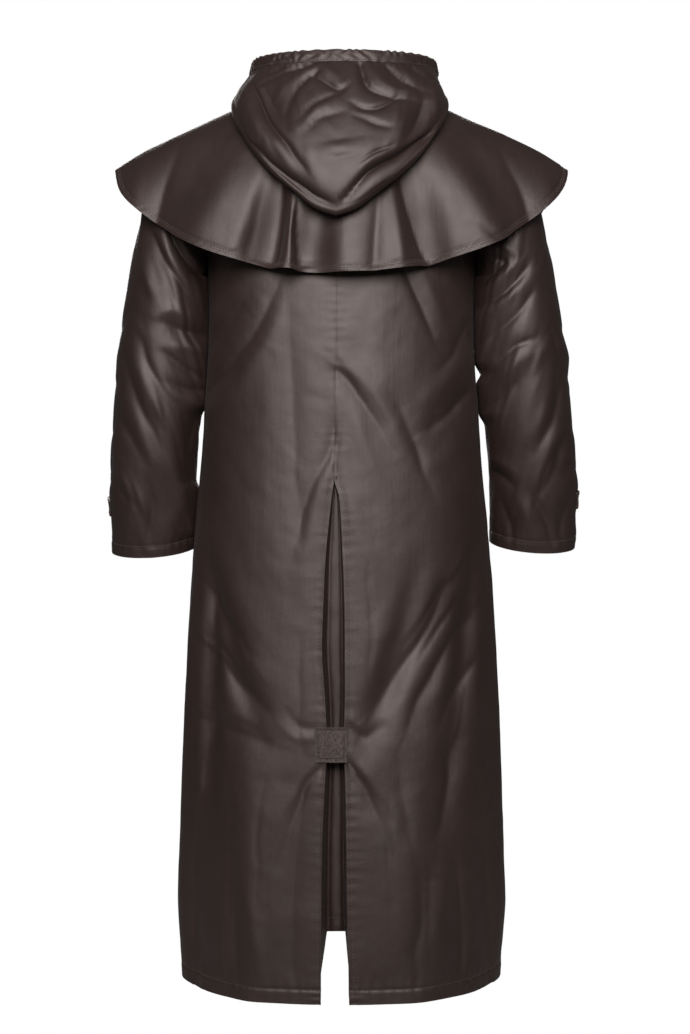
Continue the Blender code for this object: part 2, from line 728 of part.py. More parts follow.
def make_studs():
    """The row of press studs down the front."""
    for index, height in enumerate(steps(STUD_FIRST_Z, STUD_LAST_Z, STUD_COUNT - 1)):
        low, high = 0.0, float(HEM_RING)
        for _ in range(40):
            middle = (low + high) / 2
            if smooth_between(BODY_RINGS, middle)[5] > height:
                low = middle
            else:
                high = middle
        out = normal_of(placket_surface, 0.5, low)
        seat = placket_surface(0.5, low) + out * (CLOTH + SEAM_GAP + LAYER_GAP)
        stud(f"stud_{index + 1}", seat, out)


def main():
    for old in list(bpy.data.objects):
        bpy.data.objects.remove(old)
    make_body()
    make_sleeves()
    make_cape_and_hood()
    make_vent()
    make_studs()


main()
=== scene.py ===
# %% [markdown]
# # A full-length riding coat with a cape and a hood
#
# The coat is seen from behind, filled out as when it is worn. A tailor cuts it from a dozen flat
# pieces: two backs, two fronts, two sleeves, a cape, a hood and a few strips. This script lays
# each of those pieces as one thin sheet on a surface that is worked out from rings, so the
# pieces meet where they are sewn. Then it presses the creases in, one by one, adds the
# stitching, and lights it.
#
# ## Step 1: the frame
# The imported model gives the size. Everything below is made around it, in metres, with +Z up,
# the front of the coat to -Y, and the middle of the neck at the origin.

import json
import math

import bmesh
import bpy
import numpy as np
from mathutils import Matrix, Vector
from mathutils.kdtree import KDTree

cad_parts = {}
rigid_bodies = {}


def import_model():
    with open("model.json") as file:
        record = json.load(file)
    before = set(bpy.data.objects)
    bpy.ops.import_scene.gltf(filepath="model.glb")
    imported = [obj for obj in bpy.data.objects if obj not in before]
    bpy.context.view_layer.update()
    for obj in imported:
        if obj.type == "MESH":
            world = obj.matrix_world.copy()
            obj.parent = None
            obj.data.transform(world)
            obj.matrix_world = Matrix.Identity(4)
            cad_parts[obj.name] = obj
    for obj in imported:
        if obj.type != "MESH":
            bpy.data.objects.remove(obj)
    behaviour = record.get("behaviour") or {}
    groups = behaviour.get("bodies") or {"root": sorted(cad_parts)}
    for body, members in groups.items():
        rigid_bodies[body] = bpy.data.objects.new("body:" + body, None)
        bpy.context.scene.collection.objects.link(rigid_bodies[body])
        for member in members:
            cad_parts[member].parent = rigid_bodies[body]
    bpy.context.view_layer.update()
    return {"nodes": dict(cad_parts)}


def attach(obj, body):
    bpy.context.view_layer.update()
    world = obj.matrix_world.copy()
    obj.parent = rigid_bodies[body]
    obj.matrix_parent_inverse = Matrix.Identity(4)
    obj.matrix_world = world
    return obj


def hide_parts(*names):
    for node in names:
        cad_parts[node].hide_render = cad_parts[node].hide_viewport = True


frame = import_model()


def placed(name, data):
    """A new object at the origin, in the scene."""
    made = bpy.data.objects.new(name, data)
    bpy.context.scene.collection.objects.link(made)
    return made


def mesh_of(shape, name):
    """Turns a bmesh into a mesh, and frees it."""
    mesh = bpy.data.meshes.new(name)
    shape.to_mesh(mesh)
    shape.free()
    return mesh


# %% [markdown]
# ## Step 2: the camera
# The camera stands level, 2.4 m behind the coat. Its height is found from the hem: the sides of
# the hem are seen higher than its middle, which fixes the horizon at half the picture's height.

# %% Camera
EYE = (-0.0056, 2.43, -0.62)
PICTURE_WIDE, PICTURE_HIGH = 690, 1034
FOCAL_PIXELS = 1596.6
SENSOR_MM = 36.0

camera = placed("camera", bpy.data.cameras.new("camera"))
camera.location = EYE
camera.rotation_euler = (math.radians(90), 0, math.radians(180))
camera.data.sensor_fit = "VERTICAL"
camera.data.sensor_height = SENSOR_MM
camera.data.lens = FOCAL_PIXELS / PICTURE_HIGH * SENSOR_MM
bpy.context.scene.camera = camera


def seen(points):
    """Where points are seen from behind, across and down in a 690 by 1034 picture. A point of the
    front is seen as if the coat were turned round, with the wearer's left still at the left."""
    scale = FOCAL_PIXELS / (EYE[1] - np.abs(points[..., 1]))
    across = PICTURE_WIDE / 2 - (points[..., 0] - EYE[0]) * scale
    down = PICTURE_HIGH / 2 - (points[..., 2] - EYE[2]) * scale
    return across, down


print("lens", round(camera.data.lens, 2), "mm")

# %% [markdown]
# ## Step 3: smooth tables
# A short table of measures and a smooth curve through its rows make every surface here. The
# same few functions serve the body, the cape, the sleeves and the hood.

# %% Curves through tables
def between(table, place, grids=False):
    """Smooth rows between the rows of a table, at places counted in rows. With grids, each row
    is itself a grid of points, and each point has its own place."""
    table = np.asarray(table, float)
    place = np.asarray(place, float)
    first = np.clip(np.floor(place), 0, len(table) - 2).astype(int)
    share = (place - first)[..., None] if grids else (
        (place - first).reshape(place.shape + (1,) * (table.ndim - 1)))

    def row(step):
        index = np.clip(first + step, 0, len(table) - 1)
        return np.take_along_axis(table, index[None, ..., None], 0)[0] if grids else table[index]

    before, start, end, after = row(-1), row(0), row(1), row(2)
    return 0.5 * (
        2 * start
        + (end - before) * share
        + (2 * before - 5 * start + 4 * end - after) * share**2
        + (3 * start - before - 3 * end + after) * share**3
    )


def read(table, key, column):
    """A smooth value from a table whose first column rises or falls steadily."""
    rows = np.asarray(sorted(table), float)
    keys, values = rows[:, 0], rows[:, column]
    key = np.clip(key, keys[0], keys[-1])
    low = np.clip(np.searchsorted(keys, key, side="left") - 1, 0, len(rows) - 2)
    high = low + 1
    before, after = np.maximum(low - 1, 0), np.minimum(high + 1, len(rows) - 1)
    span = keys[high] - keys[low]
    share = (key - keys[low]) / span
    slope_low = (values[high] - values[before]) / (keys[high] - keys[before]) * span
    slope_high = (values[after] - values[low]) / (keys[after] - keys[low]) * span
    two, three = share**2, share**3
    return (
        values[low] * (2 * three - 3 * two + 1)
        + slope_low * (three - 2 * two + share)
        + values[high] * (3 * two - 2 * three)
        + slope_high * (three - two)
    )


def straight(table, key, column):
    """A value read straight between the rows of a table."""
    rows = np.asarray(table, float)
    return np.interp(key, rows[:, 0], rows[:, column])


def ease(value, start, end):
    """0 before start, 1 after end, and a smooth step between them."""
    share = np.clip((value - start) / (end - start), 0.0, 1.0)
    return share * share * (3 - 2 * share)


def bump(angle, centre, width):
    """A soft bell round one angle, in degrees."""
    away = (angle - centre + 180.0) % 360.0 - 180.0
    return np.exp(-((away / width) ** 2))


def soft_noise(across, down, seed):
    """Smooth unevenness between -1 and 1, about one hill or hollow for each unit."""
    field = np.random.default_rng(seed).uniform(-1, 1, (61, 67))
    left, top = np.floor(across).astype(int), np.floor(down).astype(int)
    x, y = across - left, down - top
    x, y = x * x * (3 - 2 * x), y * y * (3 - 2 * y)

    def corner(i, j):
        return field[(left + i) % 61, (top + j) % 67]

    upper = corner(0, 0) * (1 - x) + corner(1, 0) * x
    lower = corner(0, 1) * (1 - x) + corner(1, 1) * x
    return upper * (1 - y) + lower * y


print("a value halfway:", round(float(between([[0.0], [1.0], [4.0]], 0.5)[0]), 3))

# %% [markdown]
# ## Step 4: the coat's own measures
# Each ring is the outline of the cloth round the wearer at one station, from the neck down.
# These tables are the pattern: a change here moves the cloth and its creases together.

# %% Measures
CLOTH, TAB_THICK, CUFF_TAB_THICK = 0.0016, 0.0026, 0.0024
SEAM_GAP, LAYER_GAP = 0.0004, 0.0006
SQUARENESS = 0.05
BACK_LENGTH = 1.305
VENT_TOP_Z = -0.564
GUSSET_TOP_Z = -0.552
TAB_TOP_Z, TAB_BOTTOM_Z = -0.918, -0.967
TAB_LEFT_X, TAB_RIGHT_X = 0.0370, -0.0080
OVERLAP_HALF = 0.030
OVERLAP_LIFT = 0.0040
OVERLAP_RAMP = 0.026
CAPE_EDGE_X = 0.036
# How far from its edge each hem and each row of stitching lies
HEM_DEPTH, CUFF_HEM, GUSSET_HEM = 0.020, 0.018, 0.018
CAPE_HEM_ROWS, CAPE_FRONT_ROW = (0.0055, 0.0088), 0.0065
VENT_ROW = {1: 0.0045, -1: 0.0065}
PLACKET_ROW, CUFF_TAB_ROW = 0.005, 0.0032
STRAP_ROW, STRAP_MIDDLE_ROWS = 0.0035, (0.0105, 0.0165)
STUD_COUNT = 7
CHANNEL_TOP_ROW, CHANNEL_LOWER_ROW = 0.0030, 0.0024

# Rings of the body: half width, back y, front y, back z, side z, front z, crest
BODY_RINGS = [
    (0.0830, 0.0640, -0.0900, 0.006, 0.022, -0.076, 0.6),
    (0.1420, 0.0870, -0.1070, -0.038, -0.003, -0.106, 0.6),
    (0.2030, 0.1120, -0.1240, -0.092, -0.032, -0.146, 0.6),
    (0.2120, 0.1235, -0.1330, -0.147, -0.095, -0.186, 0.6),
    (0.2090, 0.1305, -0.1385, -0.207, -0.175, -0.226, 0.6),
    (0.2020, 0.1345, -0.1420, -0.272, -0.262, -0.276, 0.6),
    (0.2015, 0.1375, -0.1440, -0.350, -0.350, -0.350, 0.6),
    (0.2065, 0.1405, -0.1470, -0.440, -0.440, -0.440, 0.6),
    (0.2105, 0.1440, -0.1500, -0.530, -0.530, -0.530, 0.6),
    (0.2195, 0.1500, -0.1550, -0.640, -0.640, -0.640, 0.6),
    (0.2270, 0.1570, -0.1620, -0.750, -0.750, -0.750, 0.6),
    (0.2335, 0.1650, -0.1700, -0.860, -0.860, -0.860, 0.6),
    (0.2390, 0.1725, -0.1775, -0.970, -0.970, -0.970, 0.6),
    (0.2435, 0.1795, -0.1840, -1.080, -1.080, -1.080, 0.6),
    (0.2470, 0.1855, -0.1890, -1.190, -1.190, -1.190, 0.6),
    (0.2435, 0.1900, -0.1920, -BACK_LENGTH, -1.302, -1.300, 0.6),
]
SHOULDER_RING, ARMPIT_RING, HEM_RING = 2, 5, len(BODY_RINGS) - 1
CAPE_RINGS = [
    (0.0842, 0.0663, -0.0985, 0.0075, 0.0242, -0.066, 0.6),
    (0.1420, 0.0975, -0.1200, -0.028, 0.0050, -0.093, 0.6),
    (0.2010, 0.1250, -0.1400, -0.082, -0.0205, -0.133, 0.6),
    (0.2550, 0.1440, -0.1550, -0.146, -0.0445, -0.178, 0.5),
    (0.3010, 0.1530, -0.1640, -0.209, -0.0675, -0.222, 0.35),
    (0.3420, 0.1590, -0.1690, -0.271, -0.0945, -0.264, 0.15),
]
CAPE_HEM = len(CAPE_RINGS) - 1
ARMHOLE_BACK, ARMHOLE_FRONT, ARMHOLE_FULLNESS = 29.0, 35.0, 0.8
SLEEVE_INSET = 0.0005

# Rings of a sleeve: inner x, inner z, outer x, outer z, middle y, half depth, pitch
SLEEVE_RINGS = [
    (0.2065, -0.2725, 0.2480, -0.0510, -0.003, 0.0740, 0.0),
    (0.2070, -0.2830, 0.2810, -0.0930, -0.002, 0.0740, 0.0),
    (0.2070, -0.2970, 0.3010, -0.1500, 0.000, 0.0725, 0.0),
    (0.2070, -0.3190, 0.3155, -0.2140, 0.001, 0.0705, 1.0),
    (0.2075, -0.3530, 0.3260, -0.2780, 0.002, 0.0685, 2.0),
    (0.2095, -0.3960, 0.3375, -0.3500, 0.001, 0.0665, 4.0),
    (0.2125, -0.4430, 0.3455, -0.4300, -0.003, 0.0645, 7.0),
    (0.2175, -0.4970, 0.3500, -0.5000, -0.010, 0.0620, 10.0),
    (0.2225, -0.5560, 0.3545, -0.5650, -0.021, 0.0595, 13.0),
    (0.2240, -0.6120, 0.3555, -0.6200, -0.033, 0.0565, 15.0),
    (0.2240, -0.6640, 0.3550, -0.6720, -0.046, 0.0540, 15.0),
]
CUFF_RING = len(SLEEVE_RINGS)
RIGHT_CUFF_OUT, RIGHT_CUFF_UP = 0.006, 0.007
CUFF_STEP = 0.0545
CUFF_TAB_HALF_WIDTH = 0.0125
CUFF_TAB_RISE = {1: 0.072, -1: 0.078}

# The centre back's two edges: height, left x, right x
VENT_EDGES = [
    (0.040, 0.0062, 0.0062),
    (-0.300, 0.0066, 0.0066),
    (VENT_TOP_Z, 0.0100, 0.0100),
    (-0.592, 0.0134, 0.0029),
    (-0.674, 0.0217, -0.0021),
    (-0.747, 0.0252, -0.0048),
    (-0.811, 0.0270, -0.0053),
    (-0.880, 0.0225, -0.0055),
    (-0.942, 0.0199, -0.0035),
    (-0.995, 0.0226, -0.0060),
    (-1.080, 0.0264, -0.0075),
    (-1.165, 0.0276, -0.0085),
    (-1.330, 0.0286, -0.0120),
]

# Long soft folds of the skirt: top angle, top z, foot angle, foot z, width, height
BODY_FOLDS = [
    (-33.0, -0.640, -9.0, -0.960, 5.5, -0.0075),
    (-62.0, -0.620, -37.0, -1.010, 6.0, -0.0085),
    (-76.0, -0.560, -66.0, -1.400, 6.5, 0.0060),
    (-22.0, -0.900, -26.0, -1.400, 7.0, 0.0040),
    (61.0, -0.650, 25.0, -0.960, 5.5, -0.0065),
    (57.0, -0.600, 50.0, -1.120, 5.0, -0.0060),
    (72.0, -0.520, 66.0, -1.400, 6.0, 0.0060),
    (33.0, -0.860, 30.0, -1.400, 7.0, 0.0045),
    (104.0, -0.420, 118.0, -1.400, 7.0, 0.0065),
    (124.0, -0.560, 138.0, -1.100, 7.0, -0.0060),
    (146.0, -0.700, 155.0, -1.400, 7.0, 0.0045),
    (-102.0, -0.400, -115.0, -1.400, 7.0, 0.0060),
    (-122.0, -0.600, -134.0, -1.150, 7.0, -0.0065),
    (-146.0, -0.760, -153.0, -1.400, 7.0, 0.0045),
]

# Flutes of the cape: angle, width, height, and the ring where each starts
CAPE_FLUTES = [
    (-76.0, 11.0, 0.0050, 1.5),
    (-52.0, 9.0, -0.0070, 1.8),
    (-40.0, 7.0, 0.0085, 1.5),
    (-25.0, 5.5, -0.0105, 1.4),
    (-6.0, 10.0, 0.0070, 1.8),
    (6.5, 4.5, -0.0075, 1.4),
    (13.0, 4.0, 0.0150, 1.7),
    (20.5, 4.5, -0.0085, 1.2),
    (33.0, 9.0, 0.0065, 1.6),
    (52.0, 8.0, -0.0060, 1.8),
    (72.0, 10.0, 0.0060, 1.8),
    (106.0, 11.0, -0.0060, 2.0),
    (127.0, 10.0, 0.0075, 1.8),
    (148.0, 8.0, -0.0055, 2.2),
    (-104.0, 11.0, -0.0055, 2.0),
    (-128.0, 10.0, 0.0070, 1.8),
    (-149.0, 8.0, -0.0060, 2.2),
]

# The hood by angle from its tip: how many cape rings it reaches, and how full it is
HOOD_PLAN = [
    (0.0, 3.66, 0.104),
    (6.0, 3.50, 0.104),
    (12.0, 3.20, 0.102),
    (20.0, 2.88, 0.096),
    (30.0, 2.48, 0.080),
    (42.0, 2.02, 0.058),
    (58.0, 1.54, 0.034),
    (80.0, 1.07, 0.016),
    (105.0, 0.88, 0.012),
    (130.0, 0.76, 0.010),
    (152.0, 0.62, 0.008),
    (172.0, 0.50, 0.006),
]
HOOD_TIP_ANGLE, HOOD_SIDEWAYS, HOOD_FRONT_ANGLE = 1.5, 0.12, 163.0
HOOD_CLEAR, HOOD_SEAM, FLUTE_CLEAR, HOOD_FOLD_RADIUS = 0.0042, 0.0014, 0.0060, 0.0080
HOOD_RIM = (0.1385, 0.1020, -0.1230, 0.0620, 0.0700, -0.040, 0.6)
HOOD_RIM_ASIDE = -0.0045
CHANNEL_HEIGHT, CHANNEL_THICK, CHANNEL_GAP, CHANNEL_SLOPE = 0.015, 0.0034, 0.0008, 0.0030

# The gusset's corners: across, share between the vent's edges, aside, depth, hem z
GUSSET_CORNERS = [
    (0.00, 0.00, 0.0150, 0.0026, -1.272),
    (0.14, 0.00, 0.0020, 0.0026, -1.274),
    (0.34, 0.20, 0.0000, 0.0480, -1.214),
    (0.42, 0.36, 0.0000, 0.0390, -1.211),
    (0.60, 0.78, 0.0000, 0.0390, -1.211),
    (0.70, 0.92, 0.0000, 0.0480, -1.213),
    (0.86, 1.00, -0.0020, 0.0026, -1.266),
    (1.00, 1.00, -0.0150, 0.0026, -1.264),
]
print("rings:", len(BODY_RINGS), "body,", len(CAPE_RINGS), "cape,", len(SLEEVE_RINGS), "sleeve")

# %% [markdown]
# ## Step 5: the surfaces
# Each function takes a grid of places and gives points. `s` runs across a piece and `t` down
# it. Nothing is a mesh yet, so a piece can be read anywhere, at any fineness.

# %% Body and cape surfaces
def ring_points(ring, degrees, out=0.0, squareness=SQUARENESS):
    """Points of rings at angles from the centre back, positive to the wearer's left."""
    half_width, back_y, front_y, back_z, side_z, front_z, crest = np.moveaxis(ring, -1, 0)
    turn = np.radians(degrees)
    along, across = np.cos(turn), np.sin(turn)
    full = 1.0 + squareness * np.sin(2 * turn) ** 2
    reach_y = np.where(along >= 0, back_y, -front_y)
    end_z = np.where(along >= 0, back_z, front_z)
    fall = (np.hypot(along, crest) - crest) / (np.hypot(1.0, crest) - crest)
    x = (half_width * full + out) * across
    y = (reach_y * full + out) * along
    return np.stack(np.broadcast_arrays(x, y, side_z + (end_z - side_z) * fall), axis=-1)


def fold_heights(degrees, height):
    """How far the long folds push the skirt out."""
    total = np.zeros(np.broadcast(degrees, height).shape)
    for top_angle, top_z, foot_angle, foot_z, width, high in BODY_FOLDS:
        share = (top_z - height) / (top_z - foot_z)
        strength = ease(share, 0.0, 0.4)
        if foot_z > -BACK_LENGTH:
            strength = strength * (1.0 - ease(share, 0.65, 1.1))
        centre = top_angle + (foot_angle - top_angle) * share
        total += high * strength * bump(degrees, centre, width)
    return total


def body_points(degrees, place):
    ring = between(BODY_RINGS, place)
    plain = ring_points(ring, degrees)
    return ring_points(ring, degrees, fold_heights(degrees, plain[..., 2]))


def angle_at(rings, place, x, front=False):
    """The angle at which a ring passes a distance x from the middle plane."""
    half_width = between(rings, place)[..., 0]
    turn = np.degrees(np.arcsin(np.clip(x / half_width, -1.0, 1.0)))
    return 180.0 - turn if front else turn


def armhole_cut(place):
    share = np.clip((place - SHOULDER_RING) / (ARMPIT_RING - SHOULDER_RING), 0.0, 1.0)
    return np.abs(np.sin(math.pi * share)) ** ARMHOLE_FULLNESS


def back_angles(side, s, t):
    ring = between(BODY_RINGS, t)
    left, right = read(VENT_EDGES, ring[..., 3], 1), read(VENT_EDGES, ring[..., 3], 2)
    x = np.where(ring[..., 3] > VENT_TOP_Z, (left + right) / 2, left if side > 0 else right)
    start = angle_at(BODY_RINGS, t, x + side * 0.0001)
    half_gap = np.degrees(SEAM_GAP / 2 / ring[..., 0])
    end = side * (90.0 - ARMHOLE_BACK * armhole_cut(t) - half_gap)
    return start + (end - start) * s


def front_angles(side, s, t):
    half_gap = np.degrees(SEAM_GAP / 2 / between(BODY_RINGS, t)[..., 0])
    start = side * (90.0 + ARMHOLE_FRONT * armhole_cut(t) + half_gap)
    end = side * angle_at(BODY_RINGS, t, -OVERLAP_HALF, front=True)
    return start + (end - start) * s


def outward_xy(degrees, far):
    """A step of a length away from the coat's middle line, level."""
    turn = np.radians(degrees)
    flat = np.zeros_like(turn)
    return np.stack((np.sin(turn) * far, np.cos(turn) * far, flat), axis=-1)


def front_points(side, degrees, t):
    points = body_points(degrees, t)
    if side > 0:
        ramp = ease(points[..., 0], OVERLAP_HALF + 0.004, OVERLAP_HALF + OVERLAP_RAMP)
        points = points + outward_xy(degrees, OVERLAP_LIFT * (1.0 - ramp))
    return points


def cape_points(degrees, place, fluted=True):
    ring = between(CAPE_RINGS, place)
    out = np.zeros(np.broadcast(degrees, place).shape)
    for angle, width, height, start in CAPE_FLUTES if fluted else []:
        out += height * bump(degrees, angle, width) * ease(place, start, CAPE_HEM) ** 0.8
    return ring_points(ring, degrees, out, SQUARENESS * np.maximum(0.0, 1.0 - place / 2))


def back_place(height):
    """The ring place at a height on the centre back, below the armpit."""
    places = np.linspace(ARMPIT_RING, HEM_RING, 400)
    return np.interp(-np.asarray(height), -between(BODY_RINGS, places)[:, 3], places)


# %% Sleeve, hood and gusset surfaces
def armhole_points(side, degrees):
    """The sleeve's edge in the armhole: 0 is the shoulder point, 90 the back, 180 the armpit."""
    turn = np.radians(degrees)
    place = SHOULDER_RING + (ARMPIT_RING - SHOULDER_RING) * (1.0 - np.cos(turn)) / 2.0
    cut = armhole_cut(place)
    around = np.where(np.sin(turn) >= 0, 90.0 - ARMHOLE_BACK * cut, 90.0 + ARMHOLE_FRONT * cut)
    point = body_points(around, place)
    ends = body_points(np.array([90.0, 90.0]), np.array([SHOULDER_RING, ARMPIT_RING]))
    inward = ends.mean(axis=0) - point
    inward = inward / np.linalg.norm(inward, axis=-1, keepdims=True) * SLEEVE_INSET
    moved = point + inward + np.array([SLEEVE_INSET, 0.0, 0.0])
    return moved * np.array([side, 1.0, 1.0])


def sleeve_ring_points(side, row, degrees):
    inner_x, inner_z, outer_x, outer_z, mid_y, half_depth, pitch = SLEEVE_RINGS[row]
    if side < 0:
        share = ((row + 1) / CUFF_RING) ** 2
        inner_x, outer_x = inner_x + RIGHT_CUFF_OUT * share, outer_x + RIGHT_CUFF_OUT * share
        inner_z, outer_z = inner_z + RIGHT_CUFF_UP * share, outer_z + RIGHT_CUFF_UP * share
    turn, lean = np.radians(degrees), math.radians(pitch)
    wide, deep = np.cos(turn), np.sin(turn) * half_depth
    x = side * ((inner_x + outer_x) / 2 + (outer_x - inner_x) / 2 * wide)
    y = mid_y + deep * math.cos(lean)
    z = (inner_z + outer_z) / 2 + (outer_z - inner_z) / 2 * wide - deep * math.sin(lean)
    return np.stack((x, y, z), axis=-1)


def sleeve_points(side, s, t):
    """A sleeve's points on a grid: s once round it, t from the armhole (0) to the cuff."""
    degrees = 360.0 * np.asarray(s)
    rings = [armhole_points(side, degrees)]
    rings += [sleeve_ring_points(side, row, degrees) for row in range(CUFF_RING)]
    return between(np.array(rings), t, True)


def hood_rim(degrees, below=0.0):
    rim = ring_points(np.array(HOOD_RIM), degrees, 0.0, 0.0)
    out = outward_xy(degrees, CHANNEL_SLOPE * below / CHANNEL_HEIGHT)
    aside = HOOD_RIM_ASIDE * ease(np.cos(np.radians(degrees)), -0.9, 0.2)
    drop = np.stack(np.broadcast_arrays(aside, 0.0, -np.asarray(below)), axis=-1)
    return rim + out + drop


def unit(vectors):
    return vectors / np.maximum(np.linalg.norm(vectors, axis=-1, keepdims=True), 1e-12)


def hood_points(degrees, share):
    """The hood's section: 0 the neck seam, 1 to 2 the fold at its lower end, 3 the channel."""
    away = np.abs(degrees - HOOD_TIP_ANGLE)
    reach, fullness = read(HOOD_PLAN, away, 1), read(HOOD_PLAN, away, 2)
    place = 0.10 + (reach - 0.10) * np.clip(share, 0.0, 1.0)
    clear = HOOD_SEAM + (HOOD_CLEAR - HOOD_SEAM) * ease(share, 0.0, 0.35)
    clear = (clear + FLUTE_CLEAR * ease(place, 1.2, 3.4))[..., None]
    spot = cape_points(degrees, place, False)
    aside = cape_points(degrees + 0.5, place, False) - cape_points(degrees - 0.5, place, False)
    along = cape_points(degrees, place + 0.02, False) - cape_points(degrees, place - 0.02, False)
    up = unit(np.cross(aside, along))
    up = up * np.where(up[..., 2:] > 0, 1.0, -1.0)
    along = unit(along - up * np.sum(along * up, axis=-1, keepdims=True))
    turned = math.pi * (np.clip(share, 1.0, 2.0) - 1.0)[..., None]
    centre = spot + up * (clear + HOOD_FOLD_RADIUS)
    folded = centre + (along * np.sin(turned) - up * np.cos(turned)) * HOOD_FOLD_RADIUS
    full = fullness[..., None]
    out = outward_xy(degrees, 1.0) * np.array([HOOD_SIDEWAYS, 1.0, 1.0])
    rise = np.array([0.0, 0.0, 1.0])
    side = np.abs(degrees)
    steep = 1.0 + 2.2 * ease(side, 75.0, 125.0) + 3.0 * ease(side, 130.0, 160.0)
    end = hood_rim(degrees, CHANNEL_HEIGHT + CHANNEL_GAP * steep)
    first = folded + out * (full * 0.20) + rise * (full * 0.42) - along * 0.004
    behind = (1.0 - ease(side, 25.0, 65.0))[..., None]
    last = end + out * full * (0.95 - 0.45 * behind)
    last = last - rise * (full * (0.12 + 0.50 * behind) + 0.004)
    part = (np.clip(share, 2.0, 3.0) - 2.0)[..., None]
    rest = 1.0 - part
    upper = folded * rest**3 + first * (3 * rest**2 * part)
    upper = upper + last * (3 * rest * part**2) + end * part**3
    chosen = np.where((share <= 1.0)[..., None], spot + up * clear, folded)
    return np.where((share > 2.0)[..., None], upper, chosen)


def rounded(table, key, column, reach=0.05):
    """A value between the rows of a table, with its corners softened."""
    steps = (-1, -0.5, 0, 0.5, 1)
    return sum(straight(table, np.clip(key + reach * n, 0, 1), column) for n in steps) / len(steps)


def gusset_points(s, t):
    hem = straight(GUSSET_CORNERS, s, 4)
    height = GUSSET_TOP_Z + (hem - GUSSET_TOP_Z) * t
    opened = np.where(t < 1.0, 0.10 + 0.90 * ease(t, -0.25, 1.15), 1.0)
    left, right = read(VENT_EDGES, height, 1), read(VENT_EDGES, height, 2)
    x = left + (right - left) * rounded(GUSSET_CORNERS, s, 1) + straight(GUSSET_CORNERS, s, 2)
    place = back_place(height)
    back = body_points(angle_at(BODY_RINGS, place, x), place)
    depth, seam = rounded(GUSSET_CORNERS, s, 3), GUSSET_CORNERS[0][3]
    return np.stack((x, back[..., 1] - seam - (depth - seam) * opened, height), axis=-1)


test = body_points(np.array([0.0, 90.0, 180.0]), np.array([10.0, 10.0, 10.0]))
print("body at one ring:", np.round(test, 3).tolist())

# %% [markdown]
# ## Step 6: a sheet of cloth
# A sheet is a fine grid laid on a surface. Its own distances, from each edge in metres, say
# where a hem or a row of stitching goes. Pressing a crease moves the points along their
# normals, so the cloth keeps the shape of the piece below it. The wall's thickness comes last,
# inwards, from a Solidify modifier.

# %% The sheet and how it is pressed
class Sheet:
    """A grid of points on a surface: columns at the places across, rows at the places down."""

    def __init__(self, surface, across, down, outward, around=False):
        self.across, self.down = np.asarray(across, float), np.asarray(down, float)
        self.s, self.t = np.meshgrid(self.across, self.down)
        self.outward, self.around = outward, around
        self.points = surface(self.s, self.t)
        self.normals = self.turned()
        self.run_s = self.run(1)
        self.run_t = self.run(0)
        self.to_right = self.run_s[:, -1:] - self.run_s
        self.to_bottom = self.run_t[-1:] - self.run_t
        self.height = np.zeros(self.s.shape)

    def run(self, axis):
        """Metres walked along one way of the grid."""
        walked = np.cumsum(np.linalg.norm(np.diff(self.points, axis=axis), axis=-1), axis=axis)
        return np.concatenate((np.zeros_like(np.take(walked, [0], axis)), walked), axis)

    def turned(self):
        """Unit normals that point out of the coat."""
        grid = self.points
        if self.around:
            grid = np.concatenate((grid[:, -2:-1], grid, grid[:, 1:2]), axis=1)
        side = np.gradient(grid, axis=1)
        side = side[:, 1:-1] if self.around else side
        return unit(np.cross(side, np.gradient(self.points, axis=0))) * self.outward

    def press(self, heights):
        self.height = self.height + heights

    def at(self, field, s, t):
        """A field of this sheet, or its points, read at other places."""
        x = np.interp(s, self.across, np.arange(len(self.across)))
        y = np.interp(t, self.down, np.arange(len(self.down)))
        left = np.minimum(x.astype(int), len(self.across) - 2)
        top = np.minimum(y.astype(int), len(self.down) - 2)
        shape = x.shape + (1,) * (field.ndim - 2)
        x, y = (x - left).reshape(shape), (y - top).reshape(shape)
        upper = field[top, left] * (1 - x) + field[top, left + 1] * x
        lower = field[top + 1, left] * (1 - x) + field[top + 1, left + 1] * x
        return upper * (1 - y) + lower * y

    def line(self, distances, wanted, down=True):
        """Points and normals where a distance reaches a value: one for each column, or row."""
        fields = np.concatenate((self.points, self.normals), axis=-1)
        if not down:
            fields, distances = fields.transpose(1, 0, 2), distances.T
        found = []
        for index in range(fields.shape[1]):
            key = distances[:, index]
            order = slice(None) if key[-1] > key[0] else slice(None, None, -1)
            found.append([np.interp(wanted, key[order], f[order]) for f in fields[:, index].T])
        found = np.array(found)
        return found[:, :3], found[:, 3:]

    def set(self, share=1.0):
        """Moves the points out by the pressed heights, once."""
        self.points = self.points + self.normals * self.height[..., None] * share
        self.normals = self.turned()
        self.pressed, self.height = self.height, np.zeros(self.s.shape)

    def facing(self, low=0.04, high=0.35):
        """1 where the cloth faces the back or the front, 0 where it faces a side."""
        return ease(np.abs(self.normals[..., 1]), low, high)


# How strongly each piece takes the creases of its table
BODY_SHARE, SLEEVE_SHARE, SLEEVE_SIDE_SHARE, CAPE_SHARE, HOOD_SHARE = 0.85, 0.95, 0.45, 1.35, 1.3
RIDGE_SHARE, RIDGE_ROUND, TROUGH_SHARE, TROUGH_ROUND = 0.85, 0.80, 1.25, 0.14


